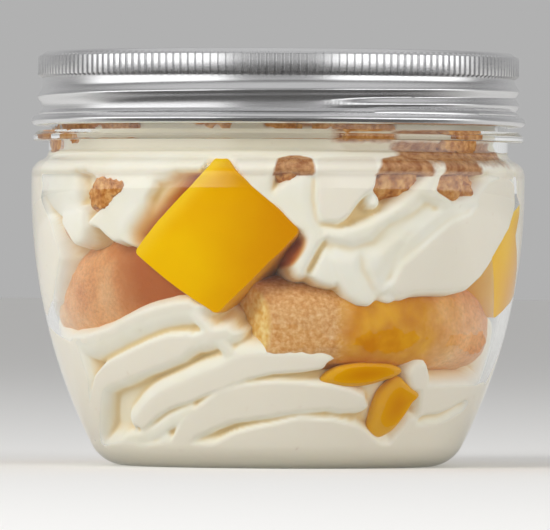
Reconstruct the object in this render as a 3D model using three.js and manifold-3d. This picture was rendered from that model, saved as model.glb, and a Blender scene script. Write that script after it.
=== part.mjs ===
// Mango tiramisu in a clear round jar with a knurled screw lid.
// Millimetres, +Z up, origin at the centre of the jar's foot, the shown side towards -Y.
import * as THREE from 'three';
import { mergeVertices } from 'three/addons/utils/BufferGeometryUtils.js';
import Module from 'manifold-3d';

const wasm = await Module();
wasm.setup();

// Driving dimensions
const CLEARANCE = 0.3;
const WELD = 1e-4;
const TURN_SIDES = 32;
const WALL_STEPS = 3;
const SHOULDER_STEPS = 2;

const body = { maxRadius: 44.5, arcRadius: 102, widestHeight: 50, shoulderHeight: 52.3, wall: 1.8 };
const foot = { cornerRadius: 7.1, ringRadius: 20, pushUpRadius: 17, pushUp: 0.8 };
const neck = { radius: 41.4, bottom: 56.7, rim: 73.2, rimRounding: 0.6, shoulderRounding: 2.9 };
const flange = { radius: 44.2, topRadius: 43.4, bottom: 58.4, edge: 0.3, top: 60.2 };

const lidTop = { height: 74.5, radius: 41.6, thickness: 0.7, roundSteps: 3 };
const knurl = { ribs: 192, crest: 43.4, root: 43.0, seat: 42.7, bottom: 70.1, top: 73.7 };
const skirt = { radius: 42.85, bandTop: 69.7, bottom: 63.9, bore: 42.2, rows: 9 };
const flare = { radius: 43.4, height: 63.3 };
const curl = { centreRadius: 43.6, height: 62.05, radius: 0.9, halfTurns: 1.6 };
const bead = {
  startAzimuth: 8, sweep: 500, fade: 25, startHeight: 64.5, pitch: 2.6, rise: 0.6, halfWidth: 0.8,
};

const cream = {
  coreSides: 20, baseTop: 17.6, baseInset: 3.2, topInset: 3, neckInset: 1,
  wellTop: 32, sideHeights: [36, 44, 52], crownBottom: 57, crownTop: 62, crownSlope: 5,
  swirlTop: 66, peak: 67,
};
const piping = { sides: 6, bands: 3, roundSteps: 2, sunk: 0.75 };
const biscuit = {
  halfWidth: 11, halfHeight: 8, bendRadius: 28.5, sides: 12, bands: 3, roundSteps: 4, squareness: 0.8,
};
const mango = { cubeSide: 19, cubeDepth: 15, bevel: 1, sliceDepth: 4, sliceSteps: 5 };
const crumb = { roughness: 0.16, seed: 7 };
const draw = { multiplier: 1664525, increment: 1013904223, range: 2 ** 32 };

// Colours read from the jar and its contents
const finishes = {
  glass: new THREE.MeshStandardMaterial({
    color: 0xf2f4f3, roughness: 0.05, metalness: 0, transparent: true, opacity: 0.25,
  }),
  aluminium: new THREE.MeshStandardMaterial({ color: 0xc8c9cb, roughness: 0.3, metalness: 1 }),
  cream: new THREE.MeshStandardMaterial({ color: 0xf3ecda, roughness: 0.55, metalness: 0 }),
  biscuit: new THREE.MeshStandardMaterial({ color: 0xd39a57, roughness: 0.85, metalness: 0 }),
  mango: new THREE.MeshStandardMaterial({ color: 0xe6a812, roughness: 0.35, metalness: 0 }),
  crumb: new THREE.MeshStandardMaterial({ color: 0xb38359, roughness: 0.9, metalness: 0 }),
};

// Closed mesh as a solid that can be joined and cut
function solidOf(geometry) {
  geometry.deleteAttribute('normal');
  geometry.deleteAttribute('uv');
  const welded = mergeVertices(geometry, WELD);
  return new wasm.Manifold(new wasm.Mesh({
    numProp: 3,
    vertProperties: Float32Array.from(welded.attributes.position.array),
    triVerts: Uint32Array.from(welded.index.array),
  }));
}

// Largest body of a solid, with loose scraps dropped and sealed hollows filled
function largestBody(solid) {
  const bodies = solid.decompose();
  bodies.sort((one, other) => other.volume() - one.volume());
  return bodies[0];
}

function joined(solids) {
  return solids.reduce((whole, solid) => whole.add(solid));
}

function cutBy(solid, cutters) {
  return cutters.reduce((rest, cutter) => rest.subtract(cutter), solid);
}

function geometryOf(solid) {
  const { vertProperties, triVerts } = solid.getMesh();
  const geometry = new THREE.BufferGeometry();
  geometry.setAttribute('position', new THREE.BufferAttribute(vertProperties, 3));
  geometry.setIndex(new THREE.BufferAttribute(triVerts, 1));
  geometry.computeVertexNormals();
  return geometry;
}

// Profile of radius and height turned about the jar's axis
function turned(profile, sides = TURN_SIDES) {
  return new THREE.LatheGeometry(profile, sides).rotateX(Math.PI / 2);
}

// Azimuths run from the front, 0, round to the right, 90
function polar(azimuth, radius, height) {
  const angle = THREE.MathUtils.degToRad(azimuth);
  return new THREE.Vector3(radius * Math.sin(angle), -radius * Math.cos(angle), height);
}

// Arcs that make up the jar's wall: foot corner, bowed side, shoulder and neck root
const sideCentre = body.maxRadius - body.arcRadius;
const cornerTurn = Math.asin(
  (foot.cornerRadius - body.widestHeight) / (body.arcRadius - foot.cornerRadius),
);
const cornerCentre = sideCentre + (body.arcRadius - foot.cornerRadius) * Math.cos(cornerTurn);
const shoulderDrop = body.maxRadius - neck.radius;
const shoulderRise = neck.bottom - body.shoulderHeight;
const shoulderTurn = 2 * Math.atan(shoulderDrop / shoulderRise);
const rootRounding = shoulderRise / Math.sin(shoulderTurn) - neck.shoulderRounding;
const shoulderCentre = body.maxRadius - neck.shoulderRounding;
const rootCentre = neck.radius + rootRounding;

// Points along an arc of radius and height
function arc(centreRadius, centreHeight, radius, from, to, steps) {
  const points = [];
  for (let step = 0; step <= steps; step += 1) {
    const angle = THREE.MathUtils.lerp(from, to, step / steps);
    const [out, up] = [radius * Math.cos(angle), radius * Math.sin(angle)];
    points.push(new THREE.Vector2(centreRadius + out, centreHeight + up));
  }
  return points;
}

// Wall outline at a depth below the outer surface, from the floor's centre to the foot of the neck
function wallOutline(depth, steps) {
  const { cornerRadius } = foot;
  const shoulderRadius = neck.shoulderRounding - depth;
  const rootRadius = rootRounding + depth;
  const rootStart = Math.PI + shoulderTurn;
  return [
    new THREE.Vector2(0, depth + foot.pushUp),
    new THREE.Vector2(foot.pushUpRadius, depth + foot.pushUp),
    new THREE.Vector2(foot.ringRadius, depth),
    ...arc(cornerCentre, cornerRadius, cornerRadius - depth, -Math.PI / 2, cornerTurn, steps),
    ...arc(sideCentre, body.widestHeight, body.arcRadius - depth, cornerTurn, 0, steps + 1).slice(1),
    ...arc(shoulderCentre, body.shoulderHeight, shoulderRadius, 0, shoulderTurn, SHOULDER_STEPS),
    ...arc(rootCentre, neck.bottom, rootRadius, rootStart, Math.PI, SHOULDER_STEPS).slice(1),
  ];
}

// Distance from the axis to the flats of the jar's inner wall at a height
function boreAt(height) {
  const inner = wallOutline(body.wall, WALL_STEPS);
  const flats = Math.cos(Math.PI / TURN_SIDES);
  const above = inner.findIndex((point) => point.y > height && point.x > cornerCentre);
  if (above < 0) {
    return flats * (neck.radius - body.wall);
  }
  const [low, high] = [inner[above - 1], inner[above]];
  return flats * THREE.MathUtils.mapLinear(height, low.y, high.y, low.x, high.x);
}

function makeJar() {
  const outside = wallOutline(0, WALL_STEPS);
  const finish = [
    new THREE.Vector2(neck.radius, flange.bottom),
    new THREE.Vector2(flange.radius - flange.edge, flange.bottom),
    new THREE.Vector2(flange.radius, flange.bottom + flange.edge),
    new THREE.Vector2(flange.radius, flange.top - 2 * flange.edge),
    new THREE.Vector2(flange.topRadius, flange.top),
    new THREE.Vector2(neck.radius, flange.top),
    new THREE.Vector2(neck.radius, neck.rim - neck.rimRounding),
    new THREE.Vector2(neck.radius - neck.rimRounding, neck.rim),
    new THREE.Vector2(neck.radius - body.wall + neck.rimRounding, neck.rim),
    new THREE.Vector2(neck.radius - body.wall, neck.rim - neck.rimRounding),
  ];
  const inside = wallOutline(body.wall, WALL_STEPS).reverse();
  return turned([...outside, ...finish, ...inside]);
}

// Stand of the thread bead above the skirt, along its helix
function beadRise(azimuth, height) {
  let rise = 0;
  const start = THREE.MathUtils.euclideanModulo(azimuth - bead.startAzimuth, 360);
  for (let travel = start; travel < bead.sweep; travel += 360) {
    const crest = bead.startHeight + bead.pitch * travel / 360;
    const fromEnds = Math.min(travel, bead.sweep - travel);
    const fade = THREE.MathUtils.smoothstep(fromEnds, 0, bead.fade);
    const across = (height - crest) / bead.halfWidth;
    rise = Math.max(rise, bead.rise * fade * Math.exp(-across * across));
  }
  return rise;
}

// Lid shell with its rounded top edge, skirt rows for the bead, flare and rolled lower edge
function lidShell() {
  const outline = new THREE.Path();
  const edge = knurl.seat - lidTop.radius;
  const curlEnd = Math.PI * (1 + curl.halfTurns);
  outline.moveTo(0, lidTop.height - lidTop.thickness);
  outline.lineTo(skirt.bore, lidTop.height - lidTop.thickness);
  outline.lineTo(skirt.bore, curl.height);
  outline.lineTo(curl.centreRadius - curl.radius, curl.height);
  outline.absarc(curl.centreRadius, curl.height, curl.radius, Math.PI, curlEnd, false);
  outline.lineTo(flare.radius, flare.height);
  for (let row = 0; row <= skirt.rows; row += 1) {
    outline.lineTo(skirt.radius, THREE.MathUtils.lerp(skirt.bottom, skirt.bandTop, row / skirt.rows));
  }
  outline.lineTo(knurl.seat, knurl.bottom);
  outline.absarc(lidTop.radius, lidTop.height - edge, edge, 0, Math.PI / 2, false);
  outline.lineTo(0, lidTop.height);
  const shell = turned(outline.getPoints(lidTop.roundSteps));
  const points = shell.attributes.position;
  for (let index = 0; index < points.count; index += 1) {
    const point = new THREE.Vector3().fromBufferAttribute(points, index);
    const radius = Math.hypot(point.x, point.y);
    if (Math.abs(radius - skirt.radius) < WELD) {
      const azimuth = THREE.MathUtils.radToDeg(Math.atan2(point.x, -point.y));
      const stretch = 1 + beadRise(azimuth, point.z) / radius;
      points.setXY(index, point.x * stretch, point.y * stretch);
    }
  }
  return shell;
}

// Ring of fine upright grip ribs
function knurlRing() {
  const outline = [];
  for (let corner = 0; corner < 2 * knurl.ribs; corner += 1) {
    const angle = Math.PI * corner / knurl.ribs;
    const radius = corner % 2 ? knurl.crest : knurl.root;
    outline.push(new THREE.Vector2(radius * Math.cos(angle), radius * Math.sin(angle)));
  }
  const ring = new THREE.Shape(outline);
  const inside = [];
  for (let corner = 0; corner < TURN_SIDES; corner += 1) {
    const angle = 2 * Math.PI * corner / TURN_SIDES;
    const radius = skirt.bore + CLEARANCE / 2;
    inside.push(new THREE.Vector2(radius * Math.cos(angle), radius * Math.sin(angle)));
  }
  ring.holes.push(new THREE.Path(inside));
  const depth = knurl.top - knurl.bottom;
  return new THREE.ExtrudeGeometry(ring, { depth, bevelEnabled: false }).translate(0, 0, knurl.bottom);
}

function makeLid() {
  return geometryOf(solidOf(lidShell()).add(solidOf(knurlRing())));
}

// Food pressed against the glass: points past the inner wall or floor move back onto it
function pressed(geometry) {
  const points = geometry.attributes.position;
  const floor = body.wall + foot.pushUp + CLEARANCE;
  for (let index = 0; index < points.count; index += 1) {
    const [x, y] = [points.getX(index), points.getY(index)];
    const height = Math.max(points.getZ(index), floor);
    const squeeze = Math.min(1, (boreAt(height) - CLEARANCE) / Math.hypot(x, y));
    points.setXYZ(index, squeeze * x, squeeze * y, height);
  }
  return geometry;
}

// Place on the inner wall: X along the wall, Y up, Z out through the glass
function wallPlace(azimuth, radius, height, roll = 0) {
  const out = polar(azimuth, 1, 0);
  const along = polar(azimuth + 90, 1, 0);
  const place = new THREE.Matrix4().makeBasis(along, new THREE.Vector3(0, 0, 1), out);
  place.setPosition(polar(azimuth, radius, height));
  return place.multiply(new THREE.Matrix4().makeRotationZ(THREE.MathUtils.degToRad(roll)));
}

// Thickness by share of a log's length, with round ends; a start of no roundness is cut flat
function logProfile(startRound, endRound, { bands, roundSteps }) {
  const quarter = (step) => 0.5 * Math.PI * step / roundSteps;
  const profile = [new THREE.Vector2(0, 0)];
  for (let step = 1; startRound && step < roundSteps; step += 1) {
    profile.push(new THREE.Vector2(Math.sin(quarter(step)), startRound * (1 - Math.cos(quarter(step)))));
  }
  for (let band = 0; band <= bands; band += 1) {
    profile.push(new THREE.Vector2(1, THREE.MathUtils.lerp(startRound, 1 - endRound, band / bands)));
  }
  for (let step = 1; step < roundSteps; step += 1) {
    profile.push(new THREE.Vector2(Math.cos(quarter(step)), 1 - endRound * (1 - Math.sin(quarter(step)))));
  }
  return [...profile, new THREE.Vector2(0, 1)];
}

// Log laid round the jar: the route gives azimuth, distance from the axis and height by share of length
function layLog(profile, route, { sides, halfWidth, halfHeight, squareness }) {
  const log = new THREE.LatheGeometry(profile, sides);
  const points = log.attributes.position;
  const nextShare = 0.01;
  const squared = (value) => Math.sign(value) * Math.abs(value) ** squareness;
  for (let index = 0; index < points.count; index += 1) {
    const share = points.getY(index);
    const [middle, ahead] = [route(share), route(share + nextShare)];
    const run = middle.radius * THREE.MathUtils.degToRad(ahead.azimuth - middle.azimuth);
    const slope = Math.atan2(ahead.height - middle.height, run);
    const out = halfWidth * squared(points.getX(index));
    const up = halfHeight * squared(points.getZ(index));
    const back = THREE.MathUtils.radToDeg(up * Math.sin(slope) / middle.radius);
    const spot = polar(middle.azimuth - back, middle.radius + out, middle.height + up * Math.cos(slope));
    points.setXYZ(index, spot.x, spot.y, spot.z);
  }
  return log;
}

// Piped strand along the wall between two points of azimuth and height, bowed up or down
function strand({ from, to, bow, radius }) {
  const route = (share) => {
    const azimuth = THREE.MathUtils.lerp(from[0], to[0], share);
    const height = THREE.MathUtils.lerp(from[1], to[1], share) + 4 * bow * share * (1 - share);
    return { azimuth, height, radius: boreAt(height) - piping.sunk * radius };
  };
  const turn = THREE.MathUtils.degToRad(to[0] - from[0]);
  const length = Math.hypot(route(0).radius * turn, to[1] - from[1]);
  const profile = logProfile(radius / length, radius / length, piping);
  return layLog(profile, route, { ...piping, halfWidth: radius, halfHeight: radius, squareness: 1 });
}

// Ridges of the cream under the biscuits, fanning up from the foot towards the right
const baseRidges = [
  { from: [-80, 21.5], to: [-12, 27.5], bow: 0.5, radius: 3.2 },
  { from: [-74, 6], to: [-6, 24], bow: 4.5, radius: 3.3 },
  { from: [-47, 11.5], to: [14, 19.5], bow: 1.2, radius: 3.3 },
  { from: [-62, 5], to: [-23, 12.5], bow: 0.5, radius: 2 },
  { from: [-37, 4], to: [32, 12], bow: 4, radius: 4.4 },
  { from: [-27, 3], to: [42, 3.5], bow: 3, radius: 3.4 },
  { from: [44, 5], to: [82, 14.5], bow: 0.5, radius: 3.4 },
  { from: [66, 5], to: [104, 14], bow: 0.5, radius: 3.2 },
];

// Folds of the cream above the biscuits: a left swirl, a middle lobe and a wide right swirl
const topFolds = [
  { from: [-31, 50], to: [-42, 43.5], bow: 0, radius: 3.6 },
  { from: [-51, 50], to: [-56, 43], bow: 0, radius: 3.2 },
  { from: [-78, 50], to: [-70, 41.5], bow: 0, radius: 3.2 },
  { from: [9, 51], to: [5, 45], bow: 0, radius: 3 },
  { from: [12, 43.5], to: [46, 50.5], bow: -3, radius: 2.4 },
  { from: [12, 38.5], to: [68, 49.5], bow: -3.5, radius: 3 },
  { from: [20, 35.5], to: [76, 46], bow: -2.5, radius: 3.4 },
];

// The far side repeats the same piping
function allAround(folds) {
  const halfTurn = ([azimuth, height]) => [azimuth + 180, height];
  const farFolds = folds.map((fold) => ({ ...fold, from: halfTurn(fold.from), to: halfTurn(fold.to) }));
  return [...folds, ...farFolds];
}

// Cream under the biscuits: a core with the piped ridges on it
function creamBase() {
  const top = cream.baseTop;
  const floor = body.wall + foot.pushUp + CLEARANCE;
  const reach = (height) => boreAt(height) - cream.baseInset;
  const profile = [
    new THREE.Vector2(0, floor),
    new THREE.Vector2(reach(floor), floor),
    new THREE.Vector2(reach(0.5 * top), 0.5 * top),
    new THREE.Vector2(reach(top), top),
    new THREE.Vector2(0, top),
  ];
  const ridges = allAround(baseRidges).map((ridge) => pressed(strand(ridge)));
  return joined([turned(profile, cream.coreSides), ...ridges].map(solidOf));
}

// Cream above the biscuits: a core that fills the middle, with the piped folds on it
function creamTop() {
  const well = biscuit.bendRadius - biscuit.halfWidth;
  const reach = (height) => boreAt(height) - cream.topInset;
  const crown = neck.radius - body.wall - cream.neckInset;
  const profile = [
    new THREE.Vector2(0, cream.baseTop + CLEARANCE),
    new THREE.Vector2(well, cream.baseTop + CLEARANCE),
    new THREE.Vector2(well, cream.wellTop),
    ...cream.sideHeights.map((height) => new THREE.Vector2(reach(height), height)),
    new THREE.Vector2(crown, cream.crownBottom),
    new THREE.Vector2(crown, cream.crownTop),
    new THREE.Vector2(crown - cream.crownSlope, cream.swirlTop),
    new THREE.Vector2(0, cream.peak),
  ];
  const folds = allAround(topFolds).map((fold) => pressed(strand(fold)));
  return joined([turned(profile, cream.coreSides), ...folds].map(solidOf));
}

// Halved sponge finger bent along the wall, cut flat at its first end and round at the other
const biscuits = [
  { name: 'biscuit_right', from: -10, to: 75, height: 26.2, climb: 0, stout: 1 },
  { name: 'biscuit_left', from: -18, to: -84, height: 33.7, climb: -14, stout: 1.2 },
  { name: 'biscuit_back_right', from: 160, to: 95, height: 27, climb: 3, stout: 1 },
  { name: 'biscuit_back_left', from: 176, to: 262, height: 27.5, climb: 5, stout: 1 },
];

function makeBiscuit({ from, to, height, climb, stout }, grow) {
  const length = biscuit.bendRadius * THREE.MathUtils.degToRad(Math.abs(to - from));
  const stretch = 1 + 2 * grow / length;
  const route = (share) => {
    const fromMiddle = stretch * (share - 0.5);
    const azimuth = 0.5 * (from + to) + fromMiddle * (to - from);
    return { azimuth, height: height + climb * fromMiddle, radius: biscuit.bendRadius };
  };
  const halfWidth = biscuit.halfWidth + grow;
  const halfHeight = stout * biscuit.halfHeight + grow;
  const profile = logProfile(0, biscuit.halfHeight / length, biscuit);
  return layLog(profile, route, { ...biscuit, halfWidth, halfHeight });
}

// Cut mango: cubes with one face to the glass and thin slices lying in the cream
const mangoCubes = [
  { name: 'mango_cube_front', azimuth: -15.2, height: 41, face: 39.3, roll: 48, wide: 1.12, high: 0.97 },
  { name: 'mango_cube_right', azimuth: 74, height: 38.5, face: 40.2, roll: 20, wide: 0.9, high: 0.9 },
  { name: 'mango_cube_back', azimuth: 172, height: 42, face: 39.5, roll: 30, wide: 1, high: 1 },
  { name: 'mango_cube_left', azimuth: -112, height: 41, face: 39.6, roll: 62, wide: 0.92, high: 0.92 },
];

const mangoSlices = [
  { name: 'mango_slice_front_upper', azimuth: 23.5, height: 17.4, length: 17, width: 4.8, roll: 5 },
  { name: 'mango_slice_front_lower', azimuth: 37.5, height: 11.4, length: 11, width: 7, roll: 62 },
  { name: 'mango_slice_back_upper', azimuth: 150, height: 16, length: 15, width: 5, roll: -8 },
  { name: 'mango_slice_back_lower', azimuth: 222, height: 12, length: 13, width: 6.5, roll: 40 },
];

function makeCube({ azimuth, height, face, roll, wide, high }, grow) {
  const half = 0.5 * mango.cubeSide + grow - mango.bevel;
  const depth = mango.cubeDepth + 2 * grow - 2 * mango.bevel;
  const square = new THREE.Shape();
  square.moveTo(-half, -half);
  square.lineTo(half, -half);
  square.lineTo(half, half);
  square.lineTo(-half, half);
  const cube = new THREE.ExtrudeGeometry(square, {
    depth, bevelThickness: mango.bevel, bevelSize: mango.bevel, bevelSegments: 1,
  });
  cube.translate(0, 0, -depth - mango.bevel + grow);
  cube.scale(wide, high, 1);
  cube.rotateZ(THREE.MathUtils.degToRad(roll));
  return cube.applyMatrix4(wallPlace(azimuth, face, height));
}

function makeSlice({ azimuth, height, length, width, roll }, grow) {
  const [halfLength, halfWidth] = [0.5 * length + grow, 0.5 * width + grow];
  const almond = new THREE.Shape();
  almond.moveTo(-halfLength, 0);
  almond.quadraticCurveTo(0, -2 * halfWidth, halfLength, 0);
  almond.quadraticCurveTo(0, 2 * halfWidth, -halfLength, 0);
  const depth = mango.sliceDepth + 2 * grow;
  const slice = new THREE.ExtrudeGeometry(almond, {
    depth, bevelEnabled: false, curveSegments: mango.sliceSteps,
  });
  slice.translate(0, 0, -depth + grow);
  return slice.applyMatrix4(wallPlace(azimuth, boreAt(height), height, roll));
}

// Biscuit crumbs lying on the cream, each size across the wall, up and inwards
const crumbs = [
  { azimuth: -46, height: 49.6, size: [7.5, 5.4, 5.5] },
  { azimuth: 2, height: 53, size: [7, 4.8, 6] },
  { azimuth: 30, height: 51.2, size: [12, 7.8, 8] },
  { azimuth: 49.5, height: 50.2, size: [10.5, 8.4, 8] },
  { azimuth: -64, height: 60.4, size: [6, 3.8, 5] },
  { azimuth: 22, height: 60.4, size: [11, 4.2, 7] },
  { azimuth: 54, height: 57.6, size: [10, 4.6, 7] },
  { azimuth: 110, height: 51, size: [8, 7, 7] },
  { azimuth: 145, height: 58.6, size: [11, 5.5, 8] },
  { azimuth: 192, height: 56.5, size: [8, 6, 7] },
  { azimuth: 226, height: 50.5, size: [9, 7, 8] },
  { azimuth: 282, height: 58.4, size: [10, 5.5, 7] },
].map((piece, index) => ({ ...piece, name: `crumb_${index + 1}`, seed: crumb.seed + index }));

// Repeatable draw between 0 and 1
function randomFrom(seed) {
  let state = seed;
  return () => {
    state = (draw.multiplier * state + draw.increment) % draw.range;
    return state / draw.range;
  };
}

function makeCrumb({ azimuth, height, size, seed }, grow) {
  const lump = new THREE.DodecahedronGeometry(0.5);
  lump.deleteAttribute('normal');
  lump.deleteAttribute('uv');
  const welded = mergeVertices(lump, WELD);
  const points = welded.attributes.position;
  const random = randomFrom(seed);
  for (let point = 0; point < points.count; point += 1) {
    const swell = 1 + crumb.roughness * (2 * random() - 1);
    const place = new THREE.Vector3().fromBufferAttribute(points, point).multiplyScalar(swell);
    points.setXYZ(point, ...place.toArray());
  }
  const [across, up, deep] = size;
  welded.scale(across + 2 * grow, up + 2 * grow, deep + 2 * grow);
  const bore = Math.min(boreAt(height), boreAt(height + 0.5 * up));
  const radius = bore - CLEARANCE - 0.5 * deep;
  return welded.applyMatrix4(wallPlace(azimuth, radius, height));
}

// Food pressed to the jar, each piece cut round the ones that push into it
function makeFood() {
  const food = [];
  const add = (name, finish, solid) => food.push({ name, finish, solid: largestBody(solid) });
  const cutter = (make) => (piece) => solidOf(make(piece, CLEARANCE));
  const cubeCutters = mangoCubes.map(cutter(makeCube));
  const firmCutters = [...cubeCutters, ...biscuits.map(cutter(makeBiscuit))];
  const creamCutters = [...firmCutters, ...mangoSlices.map(cutter(makeSlice))];
  const addCut = (pieces, finish, make, cutters) => {
    for (const piece of pieces) {
      add(piece.name, finish, cutBy(solidOf(pressed(make(piece, 0))), cutters));
    }
  };
  addCut(mangoCubes, 'mango', makeCube, []);
  addCut(biscuits, 'biscuit', makeBiscuit, cubeCutters);
  addCut(mangoSlices, 'mango', makeSlice, firmCutters);
  addCut(crumbs, 'crumb', makeCrumb, firmCutters);
  add('cream_base', 'cream', cutBy(creamBase(), creamCutters));
  const topCutters = [...creamCutters, ...crumbs.map(cutter(makeCrumb))];
  add('cream_top', 'cream', cutBy(creamTop(), topCutters));
  return food;
}

// The whole part
const tiramisu = new THREE.Group();

function addMesh(name, geometry, finish) {
  const mesh = new THREE.Mesh(geometry, finishes[finish]);
  mesh.name = name;
  tiramisu.add(mesh);
}

addMesh('jar', makeJar(), 'glass');
addMesh('lid', makeLid(), 'aluminium');
for (const { name, finish, solid } of makeFood()) {
  addMesh(name, geometryOf(solid), finish);
}

export default tiramisu;
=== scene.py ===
import math

import bpy
import numpy as np
from mathutils import Matrix, Vector


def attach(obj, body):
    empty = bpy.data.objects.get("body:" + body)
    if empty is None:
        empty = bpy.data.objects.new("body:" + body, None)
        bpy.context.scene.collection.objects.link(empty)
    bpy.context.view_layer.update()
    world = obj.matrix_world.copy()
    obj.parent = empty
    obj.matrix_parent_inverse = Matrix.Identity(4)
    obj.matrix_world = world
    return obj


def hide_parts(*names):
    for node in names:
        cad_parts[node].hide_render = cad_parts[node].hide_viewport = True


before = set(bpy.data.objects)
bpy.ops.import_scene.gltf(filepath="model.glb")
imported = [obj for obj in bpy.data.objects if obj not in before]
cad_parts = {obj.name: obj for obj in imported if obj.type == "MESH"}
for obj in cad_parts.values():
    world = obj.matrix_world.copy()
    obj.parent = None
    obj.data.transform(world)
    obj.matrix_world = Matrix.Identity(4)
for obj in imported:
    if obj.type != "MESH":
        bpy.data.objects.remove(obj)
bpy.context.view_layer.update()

# Sizes in millimetres, angles in degrees; azimuth 0 is the front, 90 the right
MM = 0.001
NEAR = 0.01

# How far the cream and the pieces in it reach into the inner wall
SUNK = 0.06
PRESSED = 0.02

BODY = {"max_radius": 44.5, "arc_radius": 102, "widest": 50, "shoulder": 52.3, "wall": 1.8, "steps": 192}
FOOT = {"corner": 7.1, "ring": 20, "push_radius": 17, "push_up": 0.8}
NECK = {"radius": 41.4, "bottom": 56.7, "rim": 73.2, "rim_round": 0.6, "shoulder_round": 2.9}
FLANGE = {"radius": 44.2, "top_radius": 43.4, "bottom": 58.4, "edge": 0.3, "top": 60.2}
# Points of the wall's outline on the floor of the jar, before it rises
FLOOR_SPOTS = 3

LID_TOP = {"height": 74.5, "radius": 41.6, "thickness": 0.7, "step": 0.25}
KNURL = {"ribs": 192, "crest": 43.4, "root": 42.9, "bottom": 70.1, "top": 73.7, "round": 0.25}
# Outline of one rib: shares of its pitch and of the depth of the gap
RIB = [(0, 0), (0.27, 0), (0.34, 1), (0.5, 1), (0.66, 1), (0.73, 0)]
SKIRT = {"radius": 42.6, "top": 69.7, "bottom": 63.9, "bore": 42.2, "rows": 26}
FLARE = {"radius": 43.4, "height": 63.3}
CURL = {"centre": 43.6, "height": 62.05, "radius": 0.9, "half_turns": 1.6}
BEAD = {"start": 8, "sweep": 500, "fade": 25, "height": 64.5, "pitch": 2.6, "rise": 0.85, "half": 0.95}

BISCUIT = {
    "half_width": 11, "half_height": 8, "bend": 28.5, "squareness": 0.8, "bluntness": 3,
    "slant": 17, "slant_share": 0.5, "sides": 96, "rings": 150, "cut_rings": 13,
}
# Where each tint of a biscuit grows: place across it for the flank, shares of its length for the others
BISCUIT_TINTS = {"soaked_shaded_flank": (3, -5), "sugar": (0.5, 0.2), "soak": (-0.16, 0.12), "brown_shade": (-0.26, 0.14)}

# Mango cube: the outer face, "skin" thick, is moved to the wall, less and less over a share of the depth; a
# painted highlight runs along its upper side and painted orange shade grows across its face
MANGO = {
    "side": 19, "depth": 15, "bevel": 0.9, "squash": 0.94, "taper": 0.06, "cuts": 15,
    "skin": 0.6, "moved_share": 0.6, "moved_fully": 1, "glow_width": 3, "orange_shade": (-10, 14), "orange_shade_strength": 0.7,
}
# Thin mango slice, with the hollow that it leaves in the cream and its painted shade at the rim and the
# middle, less at the rim as painted rim light
SLICE = {
    "depth": 4, "rings": 24, "plumpness": 4, "proud": 0.9, "hollow": 1.5, "hollow_edge": 0.2,
    "rim_shade": 0.35, "middle_shade": 0.4,
}

# Uneven skins: pattern, size of its bumps, depth and the level that stays in place
SKINS = {
    "biscuit": [("CLOUDS", 11, 1.6, 0.5), ("CLOUDS", 2.2, 0.5, 0.5)],
    "mango_cube": [("CLOUDS", 14, 0.7, 0.5), ("CLOUDS", 3, 0.1, 0.5)],
    "mango_slice": [("CLOUDS", 4, 0.3, 0.5)],
    "crumb": [("CLOUDS", 3, 3, 0.45), ("VORONOI", 1, 0.7, 0.3)],
    "loose_crumb": [("CLOUDS", 1.2, 1, 0.5)],
}

# Biscuit halves: azimuth of the cut end and of the round end, middle height, climb, stoutness,
# then the shares of the length that are soaked with juice and that lie in brown shade
BISCUITS = {
    "biscuit_right": (-18, 80, 25.7, 0, 1.06, (0.32, 0.66), (-1, -1)),
    "biscuit_left": (-8, -91, 32.8, -6, 1.2, (-1, -1), (-0.3, 0.38)),
    "biscuit_back_right": (160, 95, 27, 3, 1, (0.3, 0.6), (-1, -1)),
    "biscuit_back_left": (176, 262, 27.5, 5, 1, (-1, -1), (-0.2, 0.2)),
}

# Mango cubes: azimuth, height, distance of the outer face from the axis, roll and scale of the sides
MANGO_CUBES = {
    "mango_cube_front": (-15.2, 40.8, 39.3, 48, 1.2, 1.01),
    "mango_cube_right": (76, 37.5, 40.2, 20, 0.9, 0.95),
    "mango_cube_back": (172, 42, 39.5, 30, 1, 1),
    "mango_cube_left": (-112, 41, 39.6, 62, 0.92, 0.92),
}

# Outlines of the thin mango slices, along the wall and up, from their middle
LEAVES = {
    "long": [(-8.7, -1.5), (-7.6, 0.1), (-5.7, 1.3), (-2.5, 2), (1.6, 2.2), (5.8, 2), (8.8, 0.7), (6.6, -0.6),
             (3.8, -1.3), (1.3, -2), (-1.4, -2.2), (-5, -2.2)],
    "broad": [(-0.9, 5.8), (-4, 3.4), (-4.6, 0.7), (-4.7, -2.1), (-4.5, -4.3), (-2.5, -5.9), (-0.6, -5.5),
              (1.5, -3.9), (2.9, -1.3), (3.7, 1), (5.4, 2.1), (4.3, 2.8), (1.1, 4.4)],
}

# Mango slices: azimuth, height and outline
MANGO_SLICES = {
    "mango_slice_front_upper": (24.6, 17.1, "long"),
    "mango_slice_front_lower": (37.3, 11.5, "broad"),
    "mango_slice_back_upper": (150, 16, "long"),
    "mango_slice_back_lower": (222, 12, "broad"),
}

# Crumbs: azimuth, height, size across, up and inwards, and roll
CRUMBS = [
    (-45.4, 48.8, 7.8, 5, 5.5, 24),
    (3.6, 52, 7.4, 5.4, 6, 12),
    (30.6, 50.9, 13.5, 7.6, 8, 14),
    (50, 50.3, 12.6, 8.2, 8, -8),
    (-64, 60.4, 6, 3.8, 5, 0),
    (22, 60.4, 11, 4.2, 7, 0),
    (54, 57.6, 10, 4.6, 7, 0),
    (110, 51, 8, 7, 7, 20),
    (145, 58.6, 11, 5.5, 8, 0),
    (192, 56.5, 8, 6, 7, 0),
    (226, 50.5, 9, 7, 8, -15),
    (282, 58.4, 10, 5.5, 7, 0),
]

# Hollow in the cream where a crumb lies, and how far the crumb is pushed out before the glass flattens it
CRUMB_HOLLOW = {"deep": 5, "share": 0.54, "fullness": 0.3}
CRUMB_PUSH = 1.2

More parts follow.
